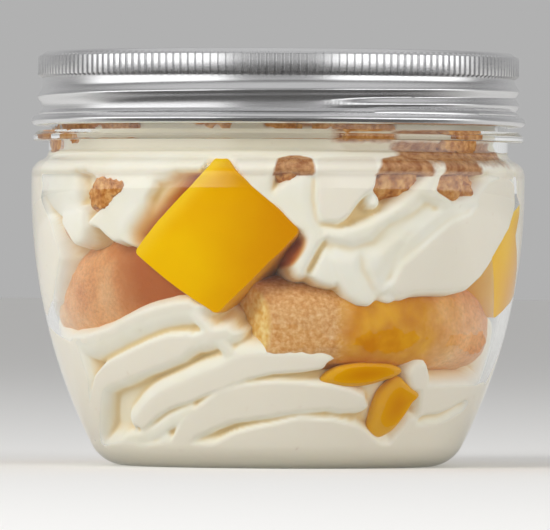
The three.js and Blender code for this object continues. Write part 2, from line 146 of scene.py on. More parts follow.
# Loose crumbs under the lid: stretches of azimuth, heights, radii and the share of a radius that stands back
LOOSE_CRUMBS = {
    "stretches": [(-75, -38), (-22, -13), (-4, 27)], "spacing": 0.55, "heights": (60.4, 62.4),
    "radii": (0.5, 1.2), "back": 0.4, "seed": 5,
}

# Relief of the cream: steps round the wall and up it, slow sway and swell, fine grain, rings of its caps
CREAM = {
    "around": 720, "step": 0.37, "seed": 11, "wave": 15, "sway": 0.15, "swell": 0.12,
    "grain_wave": 4, "grain": 0.02, "core_radius": 8, "low_rings": 6, "high_rings": 8,
    # The deepest crease and the spread shape the painted crease shade
    "deepest_crease": 4, "crease_spread": 14,
}
# Depths, heights or shares between which each tint of the cream grows; the crease, contact, hollow and neck
# shade tints are painted shade, the stain and juice tints juice stain with painted shade
CREAM_TINTS = {
    "crease": (0.06, 0.55), "contact_shade": (-0.02, 0.12), "hollow": (0.5, 2.4), "shade": (54, 57),
    "oval": (0, 0.7), "stain_and_shade": (0.1, 0.7), "juice_and_shade": (0.55, 1), "band": (0, 0.1), "on_crumb": (0, 0.3),
}
# Each cream: radius on the floor and height where it starts, height where it ends, rise of its closed top
BASE_SPAN = {"start_radius": 24, "low": 0, "high": 31, "dome": 0.5}
TOP_SPAN = {"start_radius": 24, "low": 26, "high": 66, "dome": 2}
# Cream behind the folds: its depth, and how steeply it falls away past its rim
BASE_CORE = {"deep": 2.6, "foot": (3.8, 7.5), "foot_reach": 0.3, "rim": 15.5, "fall": 2.5}
TOP_CORE = {"deep": 2.4, "fall": 3}

# Folds of piped cream: path of azimuth, height and half width of the flat that lies on the glass,
# then the roundings to the left and the right of the path and how deep its crest lies
BASE_FOLDS = [
    ([(-66.4, 22.9, 0.3), (-56.6, 23.3, 0.3), (-48.5, 24.3, 0.3), (-40.4, 26.3, 0.3), (-33.1, 27.9, 0.3),
      (-26.3, 29.2, 0.3), (-22.5, 29.4, 0.3)], 0.5, 6, 0),
    ([(-76, 4.4, 0.7), (-71.2, 7.7, 0.9), (-63.9, 12.2, 1), (-58.5, 15.4, 1), (-52.5, 17.1, 1.3),
      (-44.4, 18.5, 1.5), (-35.7, 20.3, 1.7), (-28.3, 21.8, 1.6), (-23.4, 23, 0.8)], 0.6, 2.4, -0.1),
    ([(-20.9, 23.4, 0.5), (-15.9, 24.1, 0.5), (-13, 24.3, 0.4)], 0.5, 3, 0),
    ([(-21, 27.4, 0.3), (-18.5, 25.6, 0.3), (-15.5, 23, 0.4), (-13, 20.8, 0.4)], 0.5, 0.8, 0.05),
    ([(-45.6, 8.2, 0.5), (-40.3, 10.1, 0.8), (-31.8, 12.4, 1.1), (-23.2, 14.5, 1.2), (-15.9, 16.2, 1.4),
      (-9.3, 17.9, 1.6), (-1.2, 18.6, 1.2), (7, 19, 0.8), (11.6, 19, 0.3)], 3.2, 0.9, -0.1),
    ([(-55.4, 4.6, 0.5), (-46.4, 5.7, 0.5), (-37.9, 7.2, 0.5), (-30.6, 8.9, 0.5), (-25.3, 10.5, 0.4)],
     1, 1, 0.1),
    ([(-52.5, 2.1, 0.8), (-42.6, 3.5, 0.8), (-36.8, 4.7, 0.8)], 1.2, 1.2, 0.1),
    ([(-39.7, 1.8, 0.7), (-32.3, 4.8, 0.9), (-27, 7.6, 1.2), (-21, 10, 1.9), (-14, 11.7, 2.5),
      (-7.3, 12.5, 2.7), (0.4, 13, 2.5), (7.7, 13.3, 2.2), (14.8, 13.5, 1.6), (19.4, 12.8, 1.4),
      (24.1, 12.1, 0.8)], 0.5, 2.2, -0.1),
    ([(-27.4, 1.5, 1), (-21.1, 3.2, 1.4), (-12.9, 4.5, 1.9), (-4.2, 5.7, 2.2), (6.8, 6.8, 2.4),
      (16.1, 7, 2.4), (22.9, 5.9, 2.2), (29.9, 4.2, 1.6), (38.4, 2.6, 1)], 0.4, 2.2, -0.1),
    ([(3.4, 1.6, 0.8), (10.4, 2.7, 0.8), (17.5, 2.8, 0.8), (30.9, 1.7, 0.8)], 0.8, 0.8, -0.1),
    ([(42, 17.4, 1.2), (43.2, 16, 1.2)], 1.2, 1.2, -0.1),
]
TOP_FOLDS = [
    ([(10.9, 42.5, 0.3), (14.3, 41.3, 0.8), (19, 41, 1), (23.3, 41.9, 1.1), (27.8, 43.7, 1.1),
      (31.9, 46.1, 1), (35.7, 48.6, 0.7), (38.8, 51.3, 0.4), (39.8, 52.8, 0.2)], 1.1, 3, 0.08),
    ([(22.6, 39.2, 1), (27.9, 41.6, 1), (32.5, 44, 0.9), (37.3, 46.2, 0.6)], 3, 3, 0.2),
    ([(40.9, 53.4, 0.2), (38.5, 50.4, 0.3), (38, 48.9, 0.5), (42, 47.4, 0.5), (45.4, 46.5, 0.4)],
     0.9, 0.9, 0),
    ([(22.3, 48.2, 0.4), (23.4, 47.3, 0.4)], 0.8, 0.8, 0.1),
    ([(71, 54.2, 1), (69.5, 51.6, 1.2)], 3, 3, 0),
    ([(86, 54, 2), (84, 49, 2)], 3, 3, 0.1),
    ([(-82.5, 57.1, 1.6), (-44.5, 56.6, 1.6), (-20, 56.6, 1.2), (-2, 56.7, 1.6), (12, 56.4, 1.2)],
     3, 3, 0.3),
    ([(-85, 61, 1), (-40, 60.6, 1), (-5, 60.8, 1), (40, 60.4, 1), (92, 60.7, 1)], 4, 4, 0.5),
]

# Flat sheets of cream on the glass: outline of azimuth and height, rounding of the edge and depth
BASE_SHEETS = [
    ([(-65, 21.5), (-65, 16), (-69, 12), (-74, 8.4), (-80, 4.6), (-84, 2.6), (-98, 2.6), (-107, 7),
      (-105, 12), (-98, 16), (-92, 22), (-84, 25), (-74, 23)], 1.6, -0.1),
    ([(45, 14.6), (56, 14.6), (67, 14.8), (78, 15.6), (86, 12), (84, 8.5), (72, 12), (60, 11.8), (52, 10.6),
      (46.6, 9.7)], 1.1, -0.1),
    ([(43.4, 8.8), (48, 8.7), (55, 9.9), (66, 11.6), (76, 11), (82, 6), (84, 2.2), (54, 1.6), (41, 2),
      (38, 3.6), (40, 5.6)], 1.1, -0.1),
]
TOP_SHEETS = [
    ([(3.6, 50.2), (8.9, 52.4), (9, 50.6), (8.6, 46.4), (9.3, 44), (11.4, 42.2), (9.3, 41.7), (5.6, 42.5),
      (2.3, 44.6), (0.3, 47.6), (-0.2, 48.2), (1.5, 49.3)], 1.4, 0.15),
    ([(10, 53.9), (16.2, 54.3), (23.4, 54.3), (23.2, 52.1), (22.9, 50.3), (21, 48.8), (18.8, 47),
      (16.3, 44.6), (14.3, 43.7), (11.3, 43.7), (9.7, 45.8), (9, 48.8), (9.2, 51.2)], 0.5, -0.1),
    ([(33.7, 40.4), (37.5, 42.8), (42.7, 44.7), (48.4, 46.2), (54.9, 47.7), (60.1, 50.2), (66.3, 51.5),
      (73.2, 50.6), (74, 47.2), (70.2, 43.5), (65.7, 40.5), (61.8, 38), (58.4, 35.7), (53.2, 33.4),
      (48.1, 32.7), (41, 32.8), (35.7, 32.7), (32.3, 31.9), (30.2, 32.8), (30.3, 35.6), (31.5, 38)],
     2.2, -0.1),
    ([(8.1, 41.7), (11.8, 40.2), (9.8, 38.6), (8.2, 37.1), (6.8, 35.3), (5.7, 34.9), (4.9, 36.2),
      (3.6, 37.7), (2.6, 39.2), (4, 40.4), (6, 41.3)], 0.9, 0.1),
    ([(12.3, 39.8), (14, 39.2), (13.6, 37.1), (12.4, 36), (14.2, 35), (14.7, 33.7), (13.4, 33.1),
      (10.8, 33.6), (8.9, 34.7), (8.2, 35.7), (9.4, 37.4)], 0.9, 0.4),
    ([(14.4, 39.2), (20.4, 39.2), (26.2, 39.5), (29.8, 41), (32.8, 39.8), (30.2, 36.2), (27.8, 32.5),
      (25.7, 30.9), (23.5, 29.9), (21.1, 30.1), (18.3, 31.3), (16.4, 33.1), (15, 35.3), (14.1, 37.1)],
     1.3, 0.12),
    ([(27.4, 31.9), (32.2, 32.2), (31.9, 31), (29.6, 30), (27.2, 30.3)], 0.8, 0.7),
    ([(-11.3, 54.9), (-3.9, 54.9), (-2.4, 53.8), (-3, 50.9), (-3.2, 49), (-1.6, 46.4), (-3.7, 47.6),
      (-7.2, 50.2), (-9.4, 52.4)], 1.4, 0.04),
    ([(-50.8, 43.5), (-47.3, 45.3), (-42.6, 47.4), (-38.3, 49.6), (-34.3, 51.1), (-31.4, 52.3),
      (-31.8, 50.4), (-33.8, 48.3), (-34.9, 45.2), (-36, 39.9), (-38.8, 40.3), (-40.9, 40.9),
      (-43.1, 40.7), (-45.2, 41.6), (-48, 43.2)], 0.6, 0.12),
    ([(-49.4, 53.3), (-39.8, 53.7), (-27.8, 53.8), (-27.3, 52.8), (-31.4, 52.2), (-36.2, 50.7),
      (-40.4, 50.7), (-44.8, 51.3), (-47.7, 52)], 1.5, 0.2),
    ([(-76.8, 53.4), (-59, 53.2), (-57.4, 49), (-57.9, 45.9), (-62, 45.6), (-67.5, 46.9), (-73.9, 48.7)],
     2, 0.4),
    ([(-61.1, 45.6), (-54.3, 45.3), (-54.2, 42.9), (-55.6, 41), (-57.9, 40.7), (-60.4, 42.3),
      (-62.2, 44.1)], 1.2, 0.1),
    ([(-98, 48), (-82.4, 47.3), (-75, 47.2), (-69.5, 44.1), (-66, 40), (-65.5, 37.5), (-69, 34), (-74, 30),
      (-84, 27.5), (-92, 30), (-96, 36), (-103, 42)], 1, -0.1),
    ([(-100, 54.5), (-76, 54.5), (-74, 50), (-78, 44), (-100, 44)], 1.5, -0.1),
    ([(75, 54.5), (97, 54.5), (97, 42), (88, 43.5), (80, 47.5), (77, 49)], 1.5, -0.1),
]

# Creases between folds: path of azimuth and height, soft widths to its left and right, depth
BASE_CREASES = [
    ([(48, 9.4), (56.6, 10), (61.8, 10.8), (67, 12)], 0.5, 2.2, 0.9),
]
TOP_CREASES = [
    ([(8.9, 51.4), (8.5, 47.7), (9.2, 44.6), (11.1, 41.9)], 0.4, 2.2, 0.6),
    ([(11.1, 43.7), (14.7, 43.6), (17.2, 44.8), (20.2, 47.4), (21.5, 48.3)], 0.4, 2.2, 1),
    ([(12.6, 39.9), (18.3, 39.1), (23.6, 40.1), (28.1, 43.1), (32.8, 45), (37.8, 46.8)], 1.6, 3, 0.9),
    ([(20.5, 39), (21.4, 35.4), (24.3, 32.4), (26.4, 30.5)], 1.6, 2.6, 0.8),
    ([(28.8, 33.9), (30.9, 37), (35.2, 39.5), (39.7, 41.9), (45.7, 44.4), (51.8, 46)], 4, 1, 0.6),
    ([(11.8, 39.9), (10.6, 38.6), (9.2, 36.6), (8, 35)], 0.7, 1.5, 1.6),
    ([(36.2, 47.8), (38.8, 46.9), (41.5, 46.6)], 1.3, 1.3, 0.5),
    ([(4, 40.4), (1, 37.4), (-3, 33.5)], 2.4, 2.4, 5),
]

# Lower rim of the upper cream on either half of the jar: azimuth and height
TOP_RIM = [(-90, 42), (-80, 45), (-72, 46), (-45, 46), (-36, 42), (-32, 41.5), (-5, 37), (90, 37)]

# Hollow in the cream where a mango cube lies: depth behind its face, margin round it and soft edge,
# and the turn in radians within which the wall can face it
CUBE_HOLLOW = {"behind": 3, "margin": 0.3, "soft": 0.8, "facing": 1}

# Soft gap between the upper left side of a mango cube and the cream: its width and depth,
# and how far past and short of the cube's corners it fades
# Beside the cube the gap also carries juice stain with painted shade and painted mango reflection on the
# cream
CUBE_GAP = {
    "cubes": ("mango_cube_front", "mango_cube_back"), "width": 6, "deep": 3.2, "past": 1.5, "short": 3,
}

# Juice stains with painted shade and painted mango reflection on the cream: azimuth, height, half sizes and
# roll
STAIN_AND_SHADE_OVALS = [(-9, 30, 6, 4, -30), (0.8, 37, 7, 2.6, 44), (-61.5, 41.3, 3.8, 1.3, -42)]

# Smears of crumb on the cream behind the neck: azimuths and heights between which they lie
SMEARS = [
    (31, 72, 53.2, 58.2),
    (14, 31, 58, 61.5),
    (-75, -38, 60.8, 63),
    (-22, -13, 60.8, 63),
    (-4, 27, 60.6, 63),
]
SMEAR_EDGE = {"along": 2, "up": 0.6}

# Band at the shoulder where the cream fills the bend of the wall: heights, soft edge, reach into the wall
# and the height from which it also covers a cube
SHOULDER_FILL = {"low": 51.9, "high": 56.8, "soft": 0.9, "reach": 0.9, "on_pieces": 53}

# Studio in metres: floor, softboxes by place, aim, sizes and power, and the camera
FLOOR = {"radius": 12, "dim_before": -0.05, "pale_past": 0.05}
LAMPS = {
    "left_softbox": ((-1, 0.1, 0.25), (0, 0, 0.06), (2, 0.8), 3.9),
    "right_softbox": ((1.1, 0.05, 0.25), (0, 0, 0.06), (1.5, 0.8), 3),
    "key_softbox": ((-0.68, -0.8, 0.72), (0, 0, 0.04), (0.6, 0.6), 6.5),
    "fill_softbox": ((0.8, -0.8, 0.45), (0, 0, 0.04), (0.5, 0.5), 2.9),
}
CAMERA = {
    "lens": 653, "sensor": 36, "place": (-0.00047, -1.8, 0.0346), "aim": (-0.00047, 0, 0.0362), "roll": 0.3,
}

# Surround: how its brightness runs with direction, from a start to an end, as each kind of ray meets it
SURROUND = {
    "beside": (0.28, 0.5, 0, 1),
    "over_level": (0, 0.04, 0, 0.26),
    "in_front": (0.45, 0, 0, 2.1),
    "level": (0.4, 0.15, 0, 1),
    "behind": (0.2, 0.9, 0.1, 0.45),
    "overhead": (0.35, 0.8, 0, 0.55),
    "lighting": (0, 1, 0.25, 0.5),
    "through_glass": 0.8,
    "seen": 0.44,
}


def wrap_angle(angle):
    return (angle + 180) % 360 - 180


def smoothstep(low, high, value):
    share = np.clip((value - low) / (high - low), 0, 1)
    return share * share * (3 - 2 * share)


# Share of a stretch of a given half length, fading over a soft edge at both ends
def between(off_middle, half, edge):
    return smoothstep(half + edge, half - edge, np.abs(off_middle))


def polar(azimuth, radius, height):
    angle = np.radians(azimuth)
    return np.stack(np.broadcast_arrays(radius * np.sin(angle), -radius * np.cos(angle), height), axis=-1)


# Jar wall as arcs of radius and height, at a depth below its outer surface
def wall_arcs(depth):
    side_centre = BODY["max_radius"] - BODY["arc_radius"]
    reach = BODY["arc_radius"] - FOOT["corner"]
    corner_turn = math.asin((FOOT["corner"] - BODY["widest"]) / reach)
    corner_centre = side_centre + reach * math.cos(corner_turn)
    drop = BODY["max_radius"] - NECK["radius"]
    rise = NECK["bottom"] - BODY["shoulder"]
    shoulder_turn = 2 * math.atan(drop / rise)
    root_round = rise / math.sin(shoulder_turn) - NECK["shoulder_round"]
    shoulder_centre = BODY["max_radius"] - NECK["shoulder_round"]
    half_turn = math.pi
    return [
        (corner_centre, FOOT["corner"], FOOT["corner"] - depth, -half_turn / 2, corner_turn, 1),
        (side_centre, BODY["widest"], BODY["arc_radius"] - depth, corner_turn, 0, 1),
        (shoulder_centre, BODY["shoulder"], NECK["shoulder_round"] - depth, 0, shoulder_turn, 1),
        (NECK["radius"] + root_round, NECK["bottom"], root_round + depth,
         half_turn + shoulder_turn, half_turn, -1),
    ]


# Wall points with their outward directions: floor, corner, side, shoulder, neck root, then up the neck
def wall_line(depth, top, steps=24):
    floor = depth + FOOT["push_up"]
    points = [(0, floor, 0, -1), (FOOT["push_radius"], floor, 0, -1), (FOOT["ring"], depth, 0, -1)]
    for centre, height, radius, start, end, side in wall_arcs(depth):
        for angle in np.linspace(start, end, steps):
            out, up = math.cos(angle), math.sin(angle)
            points.append((centre + radius * out, height + radius * up, side * out, side * up))
    points.append((NECK["radius"] - depth, top, 1, 0))
    return np.array(points)


def inner_line():
    return wall_line(BODY["wall"], LID_TOP["height"], 60)


# Inner wall sampled at even steps, from a start radius on the floor or a start height, to an end height
def inner_rows(start_radius, start_height, end_height):
    line = inner_line()
    travel = np.concatenate([[0], np.cumsum(np.hypot(*np.diff(line[:, :2], axis=0).T))])
    low = np.interp(start_radius, line[:FLOOR_SPOTS + 1, 0], travel[:FLOOR_SPOTS + 1])
    rising = slice(FLOOR_SPOTS, None)
    low = max(low, np.interp(start_height, line[rising, 1], travel[rising]))
    high = np.interp(end_height, line[rising, 1], travel[rising])
    spots = np.linspace(low, high, int((high - low) / CREAM["step"]) + 1)
    rows = np.stack([np.interp(spots, travel, line[:, column]) for column in range(4)], axis=1)
    rows[:, 2:] /= np.linalg.norm(rows[:, 2:], axis=1, keepdims=True)

    def travel_at(height):
        return np.interp(height, line[rising, 1], travel[rising])

    return rows, spots, travel_at


def bore_at(height):
    line = inner_line()[FLOOR_SPOTS:]
    return np.interp(height, line[:, 1], line[:, 0])


# Selection and mesh helpers
def clear_selection():
    if bpy.context.object and bpy.context.object.mode != "OBJECT":
        bpy.ops.object.mode_set(mode="OBJECT")
    bpy.ops.object.select_all(action="DESELECT")


def named(name):
    piece = bpy.context.active_object
    piece.name = name
    piece.data.name = name
    return piece


def read_points(piece):
    points = np.empty(3 * len(piece.data.vertices))
    piece.data.vertices.foreach_get("co", points)
    return points.reshape(-1, 3) / MM


def write_points(piece, points):
    piece.data.vertices.foreach_set("co", np.ascontiguousarray(points * MM).ravel())
    piece.data.update()


def close_seams(piece):
    bpy.context.view_layer.objects.active = piece
    bpy.ops.object.mode_set(mode="EDIT")
    bpy.ops.mesh.select_all(action="SELECT")
    bpy.ops.mesh.remove_doubles(threshold=1e-3 * MM)
    bpy.ops.mesh.normals_make_consistent(inside=False)
    bpy.ops.object.mode_set(mode="OBJECT")


def paint(piece, name, values):
    layer = piece.data.attributes.new(name, "FLOAT", "POINT")
    layer.data.foreach_set("value", np.ascontiguousarray(values, dtype=np.float32).ravel())


# Grid wrapped round into a closed skin: rows run along it, columns round it
def wrapped_skin(name, points, tints=None):
    rows, columns = points.shape[:2]
    clear_selection()
    bpy.ops.mesh.primitive_grid_add(x_subdivisions=columns, y_subdivisions=rows - 1, size=1)
    piece = named(name)
    write_points(piece, np.concatenate([points, points[:, :1]], axis=1).reshape(-1, 3))
    for tint_name, values in (tints or {}).items():
        paint(piece, tint_name, np.concatenate([values, values[:, :1]], axis=1))
    close_seams(piece)
    return piece


# Outline of radius and height turned about the jar's axis
def turned(name, outline, steps):
    clear_selection()
    mesh = bpy.data.meshes.new(name)
    spots = [(radius * MM, 0, height * MM) for radius, height in outline]
    mesh.from_pydata(spots, [(index, index + 1) for index in range(len(spots) - 1)], [])
    piece = bpy.data.objects.new(name, mesh)
    bpy.context.collection.objects.link(piece)
    piece.select_set(True)
    bpy.context.view_layer.objects.active = piece
    bpy.ops.object.mode_set(mode="EDIT")
    bpy.ops.mesh.select_all(action="SELECT")
    bpy.ops.mesh.spin(steps=steps, angle=2 * math.pi, center=(0, 0, 0), axis=(0, 0, 1))
    bpy.ops.object.mode_set(mode="OBJECT")
    close_seams(piece)
    return piece


def arc_points(centre, height, radius, start, end, steps):
    angles = np.linspace(start, end, steps)
    return [(centre + radius * math.cos(angle), height + radius * math.sin(angle)) for angle in angles]


# Bumps of a piece's own skin
def roughen(piece, skin):
    bpy.context.view_layer.objects.active = piece
    for pattern, size, depth, level in SKINS[skin]:
        bumps = bpy.data.textures.new(piece.name + "_" + pattern.lower(), pattern)
        bumps.noise_scale = size * MM
        if pattern == "CLOUDS":
            bumps.noise_depth = 3
        bpy.ops.object.modifier_add(type="DISPLACE")
        modifier = piece.modifiers[-1]
        modifier.texture = bumps
        modifier.texture_coords = "LOCAL"
        modifier.strength = depth * MM
        modifier.mid_level = level
        bpy.ops.object.modifier_apply(modifier=modifier.name)


# Radius up to which a piece reaches into the wall, further in the bend of the shoulder
def glass_limit(height):
    soft = SHOULDER_FILL["soft"]
    bend = smoothstep(SHOULDER_FILL["low"] - 2 * soft, SHOULDER_FILL["low"] + soft, height)
    bend = bend * smoothstep(SHOULDER_FILL["high"], SHOULDER_FILL["high"] - soft, height)
    return bore_at(height) + PRESSED + SHOULDER_FILL["reach"] * bend


# Points past the inner wall move back so that they reach just into it
def press_to_glass(piece):
    points = read_points(piece)
    low = BODY["wall"] + FOOT["push_up"]
    points[:, 2] = np.maximum(points[:, 2], low)
    radius = np.hypot(points[:, 0], points[:, 1])
    squeeze = np.minimum(1, glass_limit(points[:, 2]) / np.maximum(radius, 1))
    points[:, :2] *= squeeze[:, None]
    write_points(piece, points)


def hand_over(piece, node, finish, sharp=None):
    clear_selection()
    piece.select_set(True)
    bpy.context.view_layer.objects.active = piece
    if sharp:
        bpy.ops.object.shade_smooth_by_angle(angle=math.radians(sharp))
    else:
        bpy.ops.object.shade_smooth()
    piece.data.materials.clear()
    piece.data.materials.append(finish)
    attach(piece, "root")
    if node:
        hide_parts(node)


# Finishes
def colour(red, green, blue):
    linear = [((value / 255 + 0.055) / 1.055) ** 2.4 if value > 10 else value / 255 / 12.92
              for value in (red, green, blue)]
    return (*linear, 1)


class Wiring:
    """Nodes of a finish or of the surround"""

    def __init__(self, owner):
        owner.use_nodes = True
        self.nodes = owner.node_tree.nodes
        self.links = owner.node_tree.links

    def join(self, value, socket):
        if hasattr(value, "links"):
            self.links.new(value, socket)
        else:
            socket.default_value = value

    def reckon(self, kind, *values):
        node = self.nodes.new("ShaderNodeMath")
        node.operation = kind
        for value, socket in zip(values, node.inputs):
            self.join(value, socket)
        return node.outputs["Value"]

    def fade(self, value, low, high, dark, light):
        node = self.nodes.new("ShaderNodeMapRange")
        node.inputs["From Min"].default_value = low
        node.inputs["From Max"].default_value = high
        node.inputs["To Min"].default_value = dark
        node.inputs["To Max"].default_value = light
        self.links.new(value, node.inputs["Value"])
        return node.outputs["Result"]

    def choose(self, share, first, second):
        node = self.nodes.new("ShaderNodeMix")
        for value, socket in zip((share, first, second), (node.inputs[0], node.inputs[2], node.inputs[3])):
            self.join(value, socket)
        return node.outputs[0]

    def split(self, place):
        node = self.nodes.new("ShaderNodeSeparateXYZ")
        self.links.new(place, node.inputs["Vector"])
        return node.outputs

    def rays(self):
        return self.nodes.new("ShaderNodeLightPath").outputs


class Finish(Wiring):
    """A material with its main shader"""

    def __init__(self, name):
        self.material = bpy.data.materials.new(name)
        super().__init__(self.material)
        self.shader = self.nodes["Principled BSDF"]
        self.place = self.nodes.new("ShaderNodeTexCoord").outputs["Object"]

    def set(self, values):
        for name, value in values.items():
            self.shader.inputs[name].default_value = value

    def noise(self, grain, detail=3, rough=0.5, stretch=(1, 1, 1)):
        place = self.nodes.new("ShaderNodeMapping")
        place.inputs["Scale"].default_value = stretch
        node = self.nodes.new("ShaderNodeTexNoise")
        node.inputs["Scale"].default_value = 1 / (grain * MM)
        node.inputs["Detail"].default_value = detail
        node.inputs["Roughness"].default_value = rough
        self.links.new(self.place, place.inputs["Vector"])
        self.links.new(place.outputs["Vector"], node.inputs["Vector"])
        return node.outputs["Fac"]

    def pores(self, grain):
        node = self.nodes.new("ShaderNodeTexVoronoi")
        node.inputs["Scale"].default_value = 1 / (grain * MM)
        self.links.new(self.place, node.inputs["Vector"])
        return node.outputs["Distance"]

    def painted(self, name):
        node = self.nodes.new("ShaderNodeAttribute")
        node.attribute_name = name
        return node.outputs["Fac"]

    # Painted share with an uneven edge
    def ragged(self, name, grain):
        uneven = self.reckon("ADD", self.painted(name), self.noise(grain, 4, 0.6))
        return self.fade(uneven, 0.65, 1.35, 0, 1)

    def ramp(self, factor, stops):
        node = self.nodes.new("ShaderNodeValToRGB")
        scale = node.color_ramp
        while len(scale.elements) < len(stops):
            scale.elements.new(0.5)
        for element, (place, tint) in zip(scale.elements, stops):
            element.position = place
            element.color = tint
        self.links.new(factor, node.inputs["Fac"])
        return node.outputs["Color"]

    def mix(self, factor, first, second, blend="MIX"):
        node = self.nodes.new("ShaderNodeMix")
        node.data_type = "RGBA"
        node.blend_type = blend
        for value, socket in zip((factor, first, second), (node.inputs[0], node.inputs[6], node.inputs[7])):
            self.join(value, socket)
        return node.outputs[2]

    def bump(self, height, strength, depth, before=None):
        node = self.nodes.new("ShaderNodeBump")
        node.inputs["Strength"].default_value = strength
        node.inputs["Distance"].default_value = depth * MM
        self.links.new(height, node.inputs["Height"])
        if before:
            self.links.new(before, node.inputs["Normal"])
        return node.outputs["Normal"]

    def paint(self, tint):
        self.links.new(tint, self.shader.inputs["Base Color"])

    def relief(self, normal):
        self.links.new(normal, self.shader.inputs["Normal"])

    def gloss(self, factor, low, high):
        self.links.new(self.fade(factor, 0, 1, low, high), self.shader.inputs["Roughness"])


# Clear wall that lets the lamps through to the food
def clear_jar_finish():
    finish = Finish("clear_jar")
    finish.set({"Base Color": (1, 1, 1, 1), "Roughness": 0.01, "Transmission Weight": 1, "IOR": 1.47})
    rays = finish.rays()
    trapped = finish.reckon("GREATER_THAN", rays["Ray Depth"], 1.5)
    scattered = finish.reckon("MAXIMUM", rays["Is Diffuse Ray"], trapped)
    indirect = finish.reckon("MAXIMUM", rays["Is Shadow Ray"], scattered)
    through = finish.nodes.new("ShaderNodeBsdfTransparent")
    through.inputs["Color"].default_value = (0.96, 0.97, 0.96, 1)
    both = finish.nodes.new("ShaderNodeMixShader")
    finish.links.new(indirect, both.inputs["Fac"])
    finish.links.new(finish.shader.outputs["BSDF"], both.inputs[1])
    finish.links.new(through.outputs["BSDF"], both.inputs[2])
    finish.links.new(both.outputs["Shader"], finish.nodes["Material Output"].inputs["Surface"])
    return finish.material


def aluminium_finish():
    finish = Finish("lid_aluminium")
    finish.set({"Metallic": 0.92})
    brushing = finish.noise(1.2, 4, 0.6, (0.3, 0.3, 14))
    finish.paint(finish.ramp(brushing, [(0.3, colour(231, 231, 232)), (0.7, colour(240, 240, 241))]))
    finish.gloss(brushing, 0.22, 0.28)
    finish.relief(finish.bump(brushing, 0.06, 0.03))
    return finish.material


# Cream with painted shade: greyer flat on the glass, warm in creases and hollows, beige under the lid; orange
# brown beside the mango is juice stain with painted shade
def cream_finish():
    finish = Finish("cream")
    finish.set({
        "Subsurface Weight": 0.12, "Subsurface Scale": 1 * MM, "Subsurface Radius": (1, 0.75, 0.45),
        "Roughness": 0.55, "Specular IOR Level": 0.2,
    })
    cloud = finish.noise(9, 3)
    whites = finish.ramp(cloud, [(0.35, colour(251, 244, 226)), (0.65, colour(254, 249, 236))])
    # Painted shade: greyer where the cream lies flat on the glass
    contact_shaded = finish.mix(finish.painted("contact_shade"), whites, colour(244, 237, 222))
    # Painted shade: warm beige where the cream lies deep behind the glass
    deep = finish.mix(finish.painted("hollow"), contact_shaded, colour(250, 236, 206))
    # Painted shade: tan in the creases between folds
    warmed = finish.mix(finish.painted("crease"), deep, colour(238, 212, 160))
    shaded = finish.mix(finish.painted("shade"), warmed, colour(236, 226, 204))
    crumbs = finish.ramp(finish.noise(1.4, 4, 0.6), [
        (0.35, colour(160, 100, 58)), (0.65, colour(210, 160, 112))])
    strewn = finish.mix(finish.ragged("smear", 1.6), shaded, crumbs)
    # Tan and orange brown: juice stain with painted shade and painted mango reflection beside the cubes
    stained_and_shaded = finish.mix(finish.painted("stain_and_shade"), strewn, colour(228, 182, 120))
    finish.paint(finish.mix(finish.painted("juice_and_shade"), stained_and_shaded, colour(182, 100, 36)))
    fine = finish.noise(0.5, 3, 0.6)
    finish.relief(finish.bump(fine, 0.1, 0.1))
    return finish.material


# Sponge finger: baked crust, sugar grains by the cut, orange where soaked, pale crumb on the cut; painted
# brown shade near the cube and, with soak, on the cut's inner flank
def biscuit_finish():
    finish = Finish("biscuit")
    finish.set({
        "Roughness": 0.7, "Subsurface Weight": 0.08, "Subsurface Scale": 1 * MM, "Specular IOR Level": 0.2,
    })
    crust = finish.ramp(finish.noise(8, 4, 0.55), [
        (0.28, colour(222, 144, 82)), (0.5, colour(244, 178, 116)), (0.75, colour(255, 210, 156))])
    grains = finish.ramp(finish.noise(0.8, 4, 0.65), [
        (0.3, colour(204, 138, 72)), (0.5, colour(224, 168, 106)), (0.7, colour(242, 202, 150))])
    soaked = finish.ramp(finish.noise(4, 4), [(0.3, colour(212, 132, 10)), (0.7, colour(236, 170, 30))])
    crumb = finish.ramp(finish.noise(1.1, 4), [(0.35, colour(230, 174, 74)), (0.65, colour(252, 222, 150))])
    speckle = finish.ramp(finish.noise(0.6, 3, 0.6), [
        (0.3, colour(196, 190, 186)), (0.6, colour(255, 255, 255))])
    baked = finish.mix(0.5, crust, speckle, "MULTIPLY")
    sugared = finish.mix(finish.ragged("sugar", 2), baked, grains)
    tinted = finish.mix(finish.ragged("soak", 5), sugared, soaked)
    # Painted shade: darker red brown where the biscuit lies near a mango cube
    shaded = finish.mix(finish.painted("brown_shade"), tinted, colour(184, 98, 40))
    opened = finish.mix(finish.painted("cut"), shaded, crumb)
    # Darker golden orange on the inner flank of the cut: partly soak, partly painted shade
    finish.paint(finish.mix(finish.painted("soaked_shaded_flank"), opened, colour(204, 138, 26)))
    grain = finish.bump(finish.noise(0.5, 4, 0.65), 0.4, 0.3)
    finish.relief(finish.bump(finish.pores(1.3), 0.25, 0.3, grain))
    return finish.material


